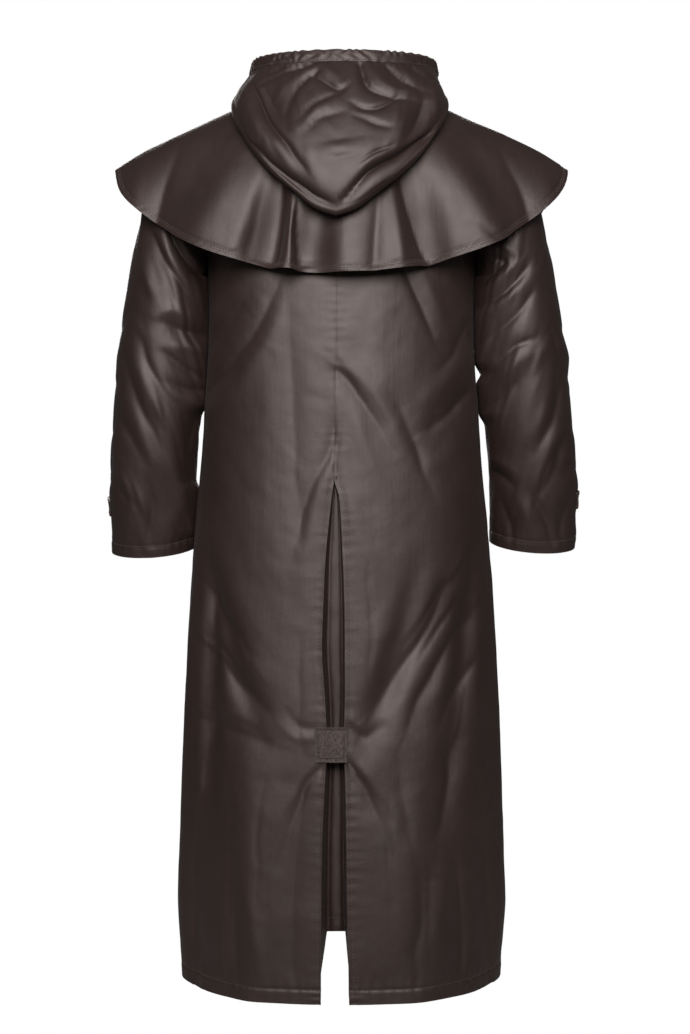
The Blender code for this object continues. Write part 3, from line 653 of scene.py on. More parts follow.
def creases(rows, across, down, wander=2.5, grain=28.0):
    """Heights in metres from a table of creases. A row: height in millimetres, half width, the
    share of its length where it is highest, its lean, and the points that it runs through."""
    total = np.zeros(across.shape)
    x = across + wander * soft_noise(across / grain + 9, down / grain + 5, 11)
    y = down + wander * soft_noise(across / grain + 31, down / grain + 17, 12)
    for high, wide, peak, lean, *line in rows:
        line = np.reshape(line, (-1, 2))
        fine = between(line, np.linspace(0, len(line) - 1, 8 * (len(line) - 1) + 1))
        low, top = fine.min(axis=0) - 5 * wide, fine.max(axis=0) + 5 * wide
        near = (x > low[0]) & (x < top[0]) & (y > low[1]) & (y < top[1])
        if not near.any():
            continue
        px, py = x[near], y[near]
        away, share, hand = np.full(px.shape, 1e6), np.zeros(px.shape), np.zeros(px.shape)
        for index, (start, end) in enumerate(zip(fine, fine[1:])):
            step = end - start
            part = ((px - start[0]) * step[0] + (py - start[1]) * step[1]) / (step @ step)
            part = np.clip(part, 0.0, 1.0)
            dx, dy = px - start[0] - step[0] * part, py - start[1] - step[1] * part
            far = np.hypot(dx, dy)
            better = far < away
            away = np.where(better, far, away)
            share = np.where(better, (index + part) / (len(fine) - 1), share)
            hand = np.where(better, np.sign(step[0] * dy - step[1] * dx), hand)
        width = wide * (1.0 + lean * hand)
        # Ridges are broad and soft, troughs are sharp
        taken, crest = (RIDGE_SHARE, RIDGE_ROUND) if high > 0 else (TROUGH_SHARE, TROUGH_ROUND)
        crest = crest * width
        profile = np.exp(-(np.sqrt(away**2 + crest**2) - crest) / width)
        swell = ease(share, -0.35, max(peak, 0.02)) * (1.0 - ease(share, peak, 1.25))
        total[near] += 0.001 * high * taken * profile * swell
    return total


def puckers(away, along, reach=0.007, pitch=0.011, seed=21):
    """Small gathers beside a row of stitching: away and along are metres from and down it."""
    wobble = soft_noise(along / pitch * 0.45 + 3, away / 0.05 + 2, seed)
    wave = np.sin(2 * math.pi * along / pitch + 4.0 * wobble) * (0.55 + 0.45 * wobble)
    return wave * np.exp(-np.abs(away) / reach)


def groove(away, width=0.0022):
    """The line that a row of stitching pulls into the cloth."""
    return np.exp(-((away / width) ** 2))


def crumple(sheet, seed, high=0.0007, size=0.045, crisp=0.0):
    """Faint unevenness all over, in two sizes, and sharp small crinkles here and there."""
    x, y = sheet.s * sheet.run_s[:, -1].mean() / size + 7, sheet.run_t / size + 3
    if sheet.around:
        turn = 2 * math.pi * sheet.s
        x, y = 7 + 1.6 * np.cos(turn), 3 + 1.6 * np.sin(turn) + sheet.run_t / size
    rough = soft_noise(x, y, seed) + 0.45 * soft_noise(2.6 * x, 2.6 * y, seed + 1)
    sharp = np.abs(soft_noise(1.1 * x + 0.7 * y, 1.3 * y - 0.5 * x, seed + 2))
    sharp = sharp * ease(soft_noise(0.8 * x, 0.8 * y, seed + 3), -0.3, 0.5)
    return high * rough + crisp * sharp


test = creases([(3, 5, 0.5, 0, 0, 0, 0, 60)], np.zeros((3, 3)), np.full((3, 3), 30.0), 0.0)
print("one crease, highest:", round(float(test.max()) * 1000, 2), "mm")

# %% [markdown]
# ## Step 7: the creases of the back
# The cloth hangs from the shoulders, is pulled in under the arms, and is held again by the
# strap at the vent. Creases run from each of those points. They are written where they are
# seen from behind, in the picture's own pixels, with their height in millimetres.

# %% The crease tables of the body
BACK_CREASES = [
    # From under the arms, and the dark hollows beside them
    (-5.5, 7, 0.3, 0.3, 207, 392, 226, 372, 262, 318, 280, 276),
    (4, 8, 0.4, 0, 216, 410, 240, 386, 272, 330, 292, 280),
    (-4, 6, 0.5, 0, 206, 352, 224, 330, 246, 300),
    (-5, 6, 0.5, -0.3, 404, 268, 418, 300, 434, 342),
    (3.5, 6, 0.5, 0, 420, 262, 434, 300, 452, 344),
    (-4, 5, 0.4, 0.3, 470, 322, 456, 350, 436, 372),
    (4, 7, 0.4, 0, 466, 352, 444, 382, 420, 402),
    (-7, 8, 0.4, 0.4, 472, 392, 452, 412, 426, 430),
    (3, 9, 0.5, 0, 474, 424, 456, 446, 428, 470),
    # Long soft bands down the middle of the back
    (2.5, 16, 0.5, 0, 256, 280, 262, 380, 262, 470, 256, 560),
    (-2, 9, 0.6, 0, 286, 272, 290, 360, 296, 470, 302, 550),
    (1.5, 12, 0.5, 0, 312, 272, 312, 350, 318, 440, 326, 520),
    (2.5, 14, 0.5, 0, 376, 272, 380, 340, 388, 400),
    # From the top of the vent
    (-4.5, 6, 0.2, 0.4, 338, 372, 352, 384, 372, 416, 396, 452),
    (5, 8, 0.4, -0.3, 346, 366, 372, 390, 398, 432, 428, 480),
    (-4.5, 7, 0.6, 0.2, 398, 404, 414, 442, 432, 486),
    (3.5, 7, 0.4, 0, 352, 410, 366, 450, 390, 510),
    (-4, 7, 0.3, 0.2, 334, 424, 322, 466, 304, 506, 292, 560),
    (4, 7, 0.3, 0, 334, 452, 318, 490, 308, 540, 304, 600),
    (-2, 3, 0.5, 0, 336, 440, 334, 462, 336, 482),
    (3, 8, 0.3, 0, 348, 486, 362, 540, 378, 600),
    # The hollows of the skirt, wearer's left
    (-6, 12, 0.5, 0.5, 202, 580, 226, 618, 250, 656),
    (2, 9, 0.5, 0, 222, 574, 242, 606, 264, 642),
    (2, 8, 0.5, 0, 234, 640, 250, 664, 266, 690),
    (-8, 15, 0.3, 0.5, 220, 662, 244, 690, 272, 718),
    (1.5, 8, 0.4, 0, 222, 690, 246, 708, 274, 728),
    (-6, 11, 0.3, 0.5, 212, 720, 242, 734, 274, 746),
    (-5.5, 8, 0.4, 0, 213, 580, 212, 680, 214, 790, 220, 890),
    (2, 6, 0.5, 0, 201, 580, 199, 680, 197, 790, 194, 900),
    (4.5, 18, 0.5, 0, 276, 730, 262, 800, 254, 900, 256, 980),
    (-3, 9, 0.5, 0, 306, 780, 296, 850, 292, 930, 294, 985),
    (3.5, 6, 0.6, 0, 250, 900, 256, 940, 262, 985),
    (-5, 9, 0.7, 0, 236, 860, 234, 920, 238, 985),
    (-8, 14, 0.7, -0.6, 200, 800, 193, 880, 192, 975),
    (3, 5, 0.7, 0, 222, 900, 220, 940, 224, 985),
    (-3, 3.5, 0.3, 0.5, 212, 640, 232, 664, 252, 690),
    (-2.6, 3, 0.3, 0.5, 214, 712, 238, 722, 264, 735),
    (-1.6, 3, 0.5, 0, 264, 780, 257, 840, 259, 905),
    (-1.4, 3, 0.5, 0, 302, 640, 299, 700, 301, 760),
    (-1.4, 3, 0.5, 0, 228, 790, 231, 850, 227, 920),
    # The long hollows of the skirt, wearer's right
    (-3, 3.5, 0.4, -0.5, 462, 598, 440, 628, 418, 660),
    (-2.8, 3, 0.4, -0.5, 444, 588, 424, 614, 402, 648),
    (-1.6, 3, 0.5, 0, 386, 800, 390, 862, 391, 935),
    (-1.4, 3, 0.5, 0, 430, 860, 428, 910, 432, 965),
    (-1.4, 3, 0.5, 0, 366, 560, 372, 620, 368, 672),
    (2, 12, 0.4, 0, 428, 562, 406, 602, 382, 646, 360, 698),
    (-10, 17, 0.4, -0.5, 452, 584, 426, 630, 398, 672, 374, 712),
    (1.2, 10, 0.5, 0, 456, 600, 430, 644, 404, 690, 388, 730),
    (-7, 12, 0.4, -0.5, 474, 610, 450, 648, 424, 694, 406, 732),
    (2.5, 8, 0.5, 0, 470, 640, 450, 676, 430, 720),
    (-4, 6, 0.5, 0.2, 476, 664, 458, 690, 440, 730),
    (1.8, 12, 0.5, 0, 464, 640, 466, 740, 464, 830, 470, 920),
    (-8, 13, 0.3, -0.4, 456, 744, 448, 790, 438, 838),
    (-4, 12, 0.4, 0, 400, 760, 404, 810, 414, 850),
    (4, 14, 0.5, 0, 388, 800, 396, 870, 398, 960),
    (3.5, 8, 0.6, 0, 444, 850, 440, 910, 436, 975),
    (-4.5, 9, 0.6, 0, 420, 870, 420, 920, 416, 985),
    (-6, 8, 0.7, 0.3, 456, 860, 464, 920, 462, 975),
    (-8, 14, 0.7, 0.6, 482, 800, 490, 880, 492, 965),
    (-1.2, 3, 0.5, 0, 424, 880, 446, 881, 472, 878),
    # From the strap
    (-4.5, 5, 0.1, 0.4, 323, 766, 306, 790, 290, 830, 280, 870),
    (3.5, 5, 0.2, -0.3, 319, 764, 296, 792, 276, 830),
    (-4.5, 5, 0.1, 0.4, 350, 765, 366, 790, 380, 822, 392, 860),
    (3.5, 5, 0.2, -0.3, 353, 763, 374, 786, 396, 816),
    (-3, 4, 0.1, 0, 352, 728, 366, 738, 388, 722),
    (2.5, 4, 0.1, 0, 352, 722, 366, 728, 386, 712),
    (-2.5, 4, 0.1, 0, 318, 728, 300, 724, 282, 706),
    (2.5, 4, 0.1, 0, 318, 736, 300, 738, 280, 730),
]
FRONT_CREASES = [
    (-5, 7, 0.3, 0.3, 210, 380, 236, 360, 270, 300, 284, 260),
    (4, 8, 0.4, 0, 216, 400, 246, 386, 276, 330, 296, 280),
    (-5, 7, 0.4, 0.3, 472, 380, 452, 350, 420, 300, 408, 262),
    (4.5, 8, 0.5, 0, 470, 408, 446, 388, 414, 330, 400, 280),
    (-4.5, 7, 0.4, 0.3, 472, 442, 440, 440, 404, 460),
    (-4, 6, 0.5, 0.2, 206, 436, 236, 440, 266, 462),
    (4, 12, 0.5, 0, 270, 300, 262, 420, 256, 560),
    (-4, 9, 0.6, 0, 298, 300, 300, 430, 294, 560),
    (4, 12, 0.5, 0, 400, 290, 406, 420, 410, 560),
    (-3.5, 9, 0.6, 0, 382, 330, 380, 460, 386, 600),
    (-7, 9, 0.4, 0.4, 214, 590, 236, 640, 262, 690, 276, 740),
    (5.5, 8, 0.4, 0, 228, 580, 254, 630, 282, 690),
    (-6.5, 9, 0.4, 0.3, 462, 600, 440, 650, 410, 700, 400, 750),
    (5, 8, 0.4, 0, 446, 590, 422, 640, 396, 700),
    (-5.5, 9, 0.5, 0, 232, 760, 226, 850, 230, 970),
    (5, 14, 0.5, 0, 268, 760, 262, 860, 266, 980),
    (-4.5, 9, 0.5, 0, 304, 800, 300, 880, 304, 985),
    (4.5, 13, 0.5, 0, 404, 780, 410, 870, 408, 980),
    (-5.5, 9, 0.5, 0, 440, 760, 444, 860, 442, 975),
    (4, 8, 0.5, 0, 470, 700, 474, 820, 472, 950),
    (-4, 7, 0.3, 0, 378, 760, 384, 860, 380, 970),
]
# Creases of the two sides: across is 10 times the angle round, down is millimetres below the neck
SIDE_CREASES = [
    (-5, 22, 0.3, 0.3, 900, 300, 905, 420, 890, 560, 880, 700),
    (5, 26, 0.5, 0, 960, 380, 975, 560, 990, 800, 985, 1200),
    (-5.5, 24, 0.4, 0, 860, 620, 840, 800, 835, 1000, 850, 1290),
    (4.5, 22, 0.5, 0, 800, 480, 790, 700, 780, 1000),
    (-5, 24, 0.6, 0, 1050, 700, 1060, 900, 1070, 1290),
    (3.5, 16, 0.4, 0, 900, 860, 905, 1000, 915, 1290),
]

# %% Body panels
body_rows = np.concatenate((
    np.linspace(0, SHOULDER_RING, 28)[:-1],
    np.linspace(SHOULDER_RING, ARMPIT_RING, 56)[:-1],
    np.linspace(ARMPIT_RING, HEM_RING - 0.3, 236)[:-1],
    np.linspace(HEM_RING - 0.3, HEM_RING, 18),
))


def press_body(panel, table, degrees, seed):
    """Presses the creases, seams, hem and unevenness into a body panel."""
    across, down = seen(panel.points)
    middle = creases(table, across, down) * panel.facing(0.10, 0.45)
    below = -1000.0 * panel.points[..., 2]
    edge = creases(SIDE_CREASES, 10 * np.abs(degrees), below) * ease(np.abs(degrees), 48, 68)
    edge = edge * (1.0 - ease(np.abs(degrees), 118, 138))
    from_side = panel.to_right if panel.outer == "right" else panel.run_s
    near_arm = ease(from_side, 0.0, 0.030)
    below_arm = ease(panel.t, ARMPIT_RING - 0.2, ARMPIT_RING + 0.8)
    in_armhole = ease(panel.t, 0.6, 1.6) * (1.0 - below_arm)
    keep = 1.0 - in_armhole * (1.0 - near_arm)
    yoke = ease(panel.t, 0.3, 2.0)
    # Under the strap the cloth is held flat
    held = np.exp(-(((across - 331) / 19) ** 4) - ((down - 744) / 22) ** 4)
    keep = keep * (1.0 - held * (panel.points[..., 1] > 0))
    panel.press((middle + edge) * keep * yoke * BODY_SHARE)
    seam = ease(from_side, 0.0, 0.020)
    uneven = crumple(panel, seed, 0.0005, 0.045, 0.0004)
    panel.press(uneven * keep * seam * ease(panel.t, 0.0, 1.5))
    hem = panel.to_bottom - HEM_DEPTH
    panel.press(0.0010 * puckers(hem, panel.run_s, 0.012, 0.014, seed + 5) * seam)
    panel.press(-0.0009 * groove(hem) + 0.0005 * (1.0 - ease(hem, -0.002, 0.001)))


HEM_LIFT, HEM_DRAWN_IN = 0.022, 0.008


def lifted(points, degrees):
    """The hem rises a little at the side seams, and its corners are rounded there."""
    low = bump(np.abs(degrees), 90, 20) * ease(-points[..., 2], 1.17, 1.31)
    inward = -HEM_DRAWN_IN * np.sign(points[..., 0]) * low
    return points + np.stack((inward, 0 * low, HEM_LIFT * low), axis=-1)


backs, fronts = {}, {}
for side, word in ((1, "left"), (-1, "right")):
    columns = np.concatenate(([0.0, 0.006, 0.013, 0.02], np.linspace(0.030, 1.0, 102)))
    panel = Sheet(lambda s, t: lifted(body_points(back_angles(side, s, t), t),
                                      back_angles(side, s, t)), columns, body_rows, side)
    panel.outer = "right"
    press_body(panel, BACK_CREASES, back_angles(side, panel.s, panel.t), 40 + side)
    # The seam down the middle, and below it the vent's turned and stitched edge
    seam = ease(panel.points[..., 2], VENT_TOP_Z - 0.004, VENT_TOP_Z + 0.010)
    pull = -0.0004 * groove(panel.run_s, 0.0024) - 0.0002 * groove(panel.run_s - 0.0075, 0.002)
    panel.press(pull * seam)
    panel.press(0.0005 * puckers(panel.run_s, panel.run_t, 0.012, 0.013, 60) * seam)
    turned_in = panel.run_s - VENT_ROW[side]
    panel.press(-0.0008 * groove(turned_in) * (1 - seam))
    panel.press(0.0006 * puckers(turned_in, panel.run_t, 0.010, 0.015, 70 + side) * (1 - seam))
    panel.set()
    backs[word] = panel

    columns = np.concatenate((np.linspace(0.0, 0.94, 36), np.linspace(0.95, 1.0, 4)))
    panel = Sheet(lambda s, t: lifted(front_points(side, front_angles(side, s, t), t),
                                      front_angles(side, s, t)),
                  columns, body_rows, side)
    panel.outer = "left"
    press_body(panel, FRONT_CREASES, front_angles(side, panel.s, panel.t), 50 + side)
    panel.set()
    fronts[word] = panel
print("back panel:", backs["left"].s.shape, "front panel:", fronts["left"].s.shape)

# %% [markdown]
# ## Step 8: the sleeves
# A sleeve is one tube, sewn into the armhole. Its creases are sharpest where the arm bends and
# under the arm. The back and the front have a table each, in the picture's pixels, and the
# outer side has one in millimetres round and down the sleeve.

# %% Sleeve creases and sleeves
SLEEVE_BACK = [
    # Wearer's left
    (-5, 5, 0.4, 0.3, 150, 228, 162, 252, 180, 282, 202, 312),
    (5, 6, 0.5, 0, 158, 230, 174, 262, 190, 290, 206, 312),
    (-4.5, 4, 0.4, 0.3, 168, 230, 184, 256, 205, 284),
    (4, 4, 0.5, 0, 177, 232, 194, 258, 208, 276),
    (5, 5, 0.4, 0, 156, 316, 174, 312, 200, 322),
    (-6.5, 7, 0.5, 0.2, 166, 322, 186, 330, 209, 340),
    (4, 5, 0.5, 0, 172, 344, 190, 348, 208, 356),
    (-4.5, 4, 0.4, 0.3, 166, 352, 184, 368, 207, 386),
    (-4, 4, 0.4, 0, 168, 380, 186, 389, 206, 390),
    (3.5, 5, 0.5, 0, 160, 374, 182, 398, 204, 410),
    (-4.5, 6, 0.4, 0.2, 122, 352, 134, 388, 150, 424, 168, 452),
    (4.5, 6, 0.5, 0, 132, 348, 146, 386, 162, 418, 184, 446),
    (-4, 5, 0.4, 0.3, 140, 340, 154, 372, 176, 408),
    (-4, 6, 0.4, 0.2, 116, 404, 130, 436, 148, 468),
    (3.5, 6, 0.5, 0, 126, 398, 142, 436, 162, 472),
    (-4.5, 6, 0.3, 0, 205, 404, 194, 432, 186, 470),
    (4, 7, 0.5, 0, 170, 456, 176, 500, 172, 546),
    (-3.5, 6, 0.5, 0, 186, 470, 190, 510, 186, 548),
    (-3.5, 6, 0.5, 0, 148, 480, 152, 515, 148, 550),
    (3, 5, 0.5, 0, 128, 470, 130, 510, 126, 548),
    (-3, 5, 0.3, 0, 112, 480, 124, 496, 136, 520),
    # Wearer's right
    (5, 4, 0.5, -0.2, 482, 246, 502, 246, 520, 256),
    (5, 5, 0.4, -0.2, 520, 258, 500, 278, 476, 302),
    (-5, 4, 0.5, 0.3, 490, 256, 502, 262, 482, 284),
    (-5, 5, 0.4, 0.3, 528, 266, 508, 290, 478, 314),
    (4.5, 5, 0.4, 0, 530, 276, 508, 298, 480, 324),
    (-4.5, 5, 0.4, 0.2, 534, 290, 514, 318, 484, 346),
    (-4.5, 4, 0.5, 0.3, 536, 338, 518, 346, 498, 362),
    (4, 6, 0.5, 0, 540, 350, 520, 362, 494, 384),
    (-4, 6, 0.4, 0, 520, 380, 504, 400, 484, 414),
    (-4, 5, 0.5, 0, 550, 326, 558, 366, 556, 402),
    (-4.5, 6, 0.4, 0.2, 562, 380, 552, 420, 534, 456),
    (4.5, 6, 0.5, 0, 553, 368, 544, 410, 524, 446),
    (-4, 6, 0.4, 0, 568, 430, 554, 468, 538, 498),
    (4, 6, 0.4, 0, 560, 420, 546, 456, 528, 486),
    (4, 5, 0.3, 0, 484, 456, 500, 464, 520, 480),
    (-6, 5, 0.2, 0.3, 481, 466, 496, 474, 514, 488),
    (-4.5, 5, 0.5, 0, 532, 494, 546, 520, 552, 548),
    (4, 6, 0.5, 0, 518, 492, 530, 520, 536, 550),
    (-3.5, 6, 0.5, 0, 502, 500, 510, 530, 508, 552),
    (-4, 5, 0.4, 0, 568, 500, 560, 525, 562, 550),
]
SLEEVE_FRONT = [
    (-5.5, 6, 0.4, 0.3, 150, 240, 172, 270, 204, 300),
    (4.5, 6, 0.5, 0, 160, 232, 184, 260, 207, 286),
    (-5.5, 6, 0.4, 0.2, 150, 330, 176, 350, 207, 352),
    (4.5, 6, 0.5, 0, 156, 344, 180, 364, 206, 370),
    (-5.5, 6, 0.4, 0.2, 130, 400, 160, 404, 200, 392),
    (4.5, 6, 0.5, 0, 132, 388, 162, 390, 204, 378),
    (-5, 6, 0.4, 0, 124, 430, 156, 428, 196, 414),
    (-4, 7, 0.4, 0, 150, 460, 160, 500, 156, 546),
    (4, 7, 0.5, 0, 174, 450, 180, 500, 176, 546),
    (-5.5, 6, 0.4, 0.3, 534, 236, 510, 268, 478, 298),
    (4.5, 6, 0.5, 0, 524, 232, 500, 258, 476, 284),
    (-5.5, 6, 0.4, 0.2, 540, 330, 510, 350, 478, 356),
    (4.5, 6, 0.5, 0, 534, 344, 506, 364, 480, 372),
    (-5.5, 6, 0.4, 0.2, 560, 404, 528, 406, 486, 396),
    (4.5, 6, 0.5, 0, 556, 390, 524, 392, 484, 382),
    (-5, 6, 0.4, 0, 562, 432, 530, 430, 492, 418),
    (-4, 7, 0.4, 0, 536, 460, 528, 500, 532, 546),
    (4, 7, 0.5, 0, 512, 452, 508, 500, 512, 546),
]
SLEEVE_SIDE = [
    (-4.5, 9, 0.4, 0.2, -40, 60, -10, 110, 20, 190, 44, 250),
    (4, 9, 0.5, 0, -20, 60, 8, 120, 34, 190, 50, 230),
    (-4.5, 8, 0.4, 0.2, 46, 90, 20, 150, -12, 210, -46, 240),
    (-5, 8, 0.5, 0.2, -48, 300, -14, 318, 18, 312, 48, 286),
    (4.5, 8, 0.5, 0, -48, 330, -12, 344, 20, 340, 48, 312),
    (-5, 8, 0.5, 0.2, -48, 362, -10, 368, 22, 372, 48, 346),
    (4, 9, 0.4, 0, -30, 400, -18, 450, -20, 520, -24, 590),
    (-4, 9, 0.4, 0, 10, 392, 14, 450, 8, 520, 12, 590),
]
# Gathers once round a sleeve at the cuff's hem and at its top, whole in number so that they meet
SLEEVE_AROUND, CUFF_GATHERS, TOP_GATHERS = 0.44, 27, 31
# Between these heights the sleeve is so full that it rests against the body
RESTING = {1: ((-0.450, -0.250), (-0.640, -0.580)), -1: ((-0.385, -0.250), (-0.462, -0.420))}


def rest_on_body(sheet, side):
    """Moves the sleeve's inner side across until it lies half a millimetre from the body."""
    word = "left" if side > 0 else "right"
    body = np.concatenate([group[word].points.reshape(-1, 3) for group in (backs, fronts)])
    body = body[(np.abs(body[:, 0]) > 0.12) & (body[:, 2] < -0.22) & (body[:, 2] > -0.70)]
    tree = KDTree(len(body))
    for index, point in enumerate(body):
        tree.insert((0.0, point[1], point[2]), index)
    tree.balance()
    height = sheet.points[..., 2]
    wanted = sum(ease(height, low - 0.018, low) * (1.0 - ease(height, high, high + 0.018))
                 for low, high in RESTING[side])
    inner = (sheet.normals[..., 0] * side < -0.15) & (height < -0.26) & (height > -0.68)
    moved = 0
    for row, column in zip(*np.nonzero(inner)):
        x, y, z = sheet.points[row, column]
        near = tree.find_n((0.0, y, z), 4)
        weights = [1.0 / (distance + 1e-4) for _, _, distance in near]
        found = [side * body[index, 0] for _, index, _ in near]
        skin = sum(w * x_there for w, x_there in zip(weights, found)) / sum(weights)
        gap = side * x - skin - 0.0006
        share = 1.0 if gap < 0 else wanted[row, column] * (1.0 - ease(gap, 0.004, 0.045))
        sheet.points[row, column, 0] -= side * min(gap, 0.0075) * share
        moved += share > 0.5
    sheet.normals = sheet.turned()
    return moved


def sleeve_sheet(side):
    sheet = Sheet(lambda s, t: sleeve_points(side, s, t), np.linspace(0, 1, 133),
                  np.concatenate((np.linspace(0, 1, 22)[:-1], np.linspace(1, CUFF_RING, 146))),
                  -side, True)
    across, down = seen(sheet.points)
    back = creases(SLEEVE_BACK, across, down) * ease(sheet.normals[..., 1], 0.08, 0.40)
    front = creases(SLEEVE_FRONT, across, down) * ease(-sheet.normals[..., 1], 0.08, 0.40)
    turn = (360.0 * sheet.s + 180.0) % 360.0 - 180.0
    outer = creases(SLEEVE_SIDE, side * 1.13 * turn, 1000 * CUFF_STEP * sheet.t)
    outer = SLEEVE_SIDE_SHARE * outer * (1.0 - ease(np.abs(turn), 44, 66))
    fixed = ease(sheet.t, 0.0, 0.7) * (1.0 - 0.75 * ease(sheet.t, CUFF_RING - 0.5, CUFF_RING))
    sheet.press((SLEEVE_SHARE * (back + front) + outer) * fixed)
    sheet.press(crumple(sheet, 80 + side, 0.0010, 0.045, 0.0032) * fixed)
    hem = sheet.to_bottom - CUFF_HEM
    along = sheet.s * SLEEVE_AROUND
    at_cuff = puckers(hem, along, 0.010, SLEEVE_AROUND / CUFF_GATHERS, 90 + side)
    sheet.press(0.0007 * at_cuff - 0.0009 * groove(hem))
    eased = 0.0009 * puckers(sheet.run_t - 0.004, along, 0.012, SLEEVE_AROUND / TOP_GATHERS,
                             94 + side)
    sheet.press(eased * ease(sheet.t, 0.0, 0.08) + 0.0005 * (1.0 - ease(hem, -0.002, 0.001)))
    sheet.points[:, -1] = sheet.points[:, 0]
    sheet.normals[:, -1] = sheet.normals[:, 0]
    sheet.height[:, -1] = sheet.height[:, 0]
    sheet.set()
    print("points of the sleeve that rest on the body:", rest_on_body(sheet, side))
    return sheet


sleeves = {"left": sleeve_sheet(1), "right": sleeve_sheet(-1)}
print("sleeve length:", round(float(sleeves["left"].run_t[-1].mean()), 3), "m")

# %% [markdown]
# ## Step 9: the cape and the hood
# The cape hangs free, so its cloth falls in flutes that widen towards the hem. The hood lies on
# it, folded over at its lower edge, and its rim is gathered by the elastic in the channel.

# %% Cape, hood and channel
CAPE_BACK = [
    (5, 15, 0.8, 0, 252, 138, 226, 184, 190, 246),
    (-5, 11, 0.8, 0, 178, 148, 162, 190, 152, 234),
    (3, 8, 0.8, 0, 138, 160, 134, 188, 138, 214),
    (3, 8, 0.7, 0, 264, 160, 248, 208, 232, 256),
    (-2.5, 8, 0.8, 0, 266, 176, 256, 216, 248, 258),
    (-12, 9, 0.8, 0.2, 282, 182, 275, 222, 266, 266),
    (5.5, 4, 0.8, 0, 289, 188, 291, 225, 292, 266),
    (-12, 16, 0.8, -0.5, 296, 190, 299, 230, 303, 268),
    (5, 13, 0.8, 0, 346, 205, 342, 240, 340, 272),
    (-4, 8, 0.8, 0, 382, 176, 377, 220, 374, 268),
    (4.5, 6, 0.8, 0, 394, 174, 398, 216, 402, 264),
    (-12, 13, 0.8, -0.4, 398, 170, 414, 222, 434, 266),
    (3.5, 12, 0.8, 0, 434, 160, 446, 205, 452, 260),
    (5, 15, 0.8, 0, 434, 138, 464, 186, 504, 246),
    (-5, 11, 0.8, 0, 500, 148, 522, 190, 534, 228),
    (3, 8, 0.8, 0, 540, 160, 550, 190, 552, 212),
    (-2.5, 4, 0.5, 0.2, 482, 226, 498, 236, 512, 231),
]
CAPE_FRONT = [
    (-5, 10, 0.8, 0, 250, 150, 214, 200, 190, 246),
    (5, 12, 0.8, 0, 280, 150, 262, 200, 250, 256),
    (-4, 8, 0.8, 0, 300, 160, 296, 210, 290, 262),
    (-5, 10, 0.8, 0, 440, 150, 470, 200, 496, 246),
    (5, 12, 0.8, 0, 410, 150, 424, 200, 438, 256),
    (-4, 8, 0.8, 0, 386, 160, 392, 210, 398, 262),
]
HOOD_BACK = [
    # From the gathered rim
    (-4.5, 2.6, 0.2, 0.4, 320, 60, 300, 66, 280, 73, 256, 83),
    (3, 4, 0.3, 0, 320, 66, 302, 75, 284, 85, 270, 98),
    (-3.8, 2.4, 0.3, 0.3, 318, 71, 304, 80, 292, 94, 284, 112),
    (-2.2, 2, 0.3, 0.3, 282, 66, 270, 70, 258, 70),
    (3.2, 4, 0.3, 0, 322, 68, 333, 75, 342, 82),
    (-3.6, 2.4, 0.4, 0.3, 312, 74, 326, 82, 338, 89, 348, 84, 354, 74),
    (-4.8, 2.2, 0.3, 0.4, 360, 60, 363, 75, 371, 88, 391, 96, 418, 100),
    (4.2, 4.5, 0.5, -0.3, 369, 68, 380, 82, 396, 90, 416, 92),
    (-3.4, 2.2, 0.3, 0.2, 386, 66, 398, 78, 412, 87, 430, 92),
    (3, 3.6, 0.5, 0, 394, 66, 408, 76, 424, 84),
    (-2.4, 2, 0.3, 0.2, 412, 66, 424, 74, 436, 80),
    (3, 4, 0.3, 0, 354, 72, 348, 84, 332, 94, 314, 102),
    (-3.2, 2.4, 0.4, 0.3, 341, 92, 326, 98, 310, 106, 300, 118),
    (-3.4, 2.4, 0.5, 0.3, 352, 102, 366, 107, 384, 104, 396, 96),
    (-2.6, 3.4, 0.4, 0.2, 306, 131, 317, 118, 342, 112),
    (-2.8, 2.2, 0.5, 0.3, 356, 115, 374, 121, 392, 127),
    (2.4, 5, 0.5, 0, 306, 124, 318, 108, 340, 104),
    # The round of the crown, and the hollows at its sides
    (4.5, 13, 0.5, 0, 338, 140, 340, 156),
    (-7, 14, 0.4, 0, 262, 84, 274, 106, 290, 132),
    (-5, 4, 0.4, 0.4, 252, 84, 272, 124, 304, 168),
    (-6, 10, 0.5, 0, 424, 98, 420, 118, 408, 138),
    (3.5, 5, 0.5, 0, 432, 84, 435, 104, 432, 122),
    (3.5, 7, 0.5, 0, 246, 96, 254, 122, 276, 152),
    (2.5, 6, 0.5, 0, 396, 108, 400, 124, 392, 142),
    # The deep fold inside the right edge, and the roll of the lower edge
    (-9, 3.6, 0.5, -0.4, 436, 131, 402, 153, 368, 172, 342, 202),
    (4.5, 4.5, 0.5, 0.2, 438, 142, 410, 162, 378, 184, 348, 206),
    (3, 7, 0.5, 0, 396, 144, 372, 158, 350, 178),
    (-2.6, 2.2, 0.4, 0.3, 392, 146, 374, 152, 362, 164),
    (-4.5, 4, 0.5, 0.3, 256, 146, 282, 172, 312, 194, 332, 204),
    (3, 4, 0.5, 0, 244, 128, 262, 154, 292, 186),
]

cape_across = np.concatenate((
    np.linspace(0, 0.30, 80)[:-1], np.linspace(0.30, 0.70, 190)[:-1], np.linspace(0.70, 1, 80)))
cape_down = np.concatenate((np.linspace(0, 1, 16)[:-1], np.linspace(1, CAPE_HEM, 76)))


def cape_surface(s, t):
    edge = angle_at(CAPE_RINGS, t, CAPE_EDGE_X, front=True)
    return cape_points(edge * (1.0 - 2.0 * s), t)


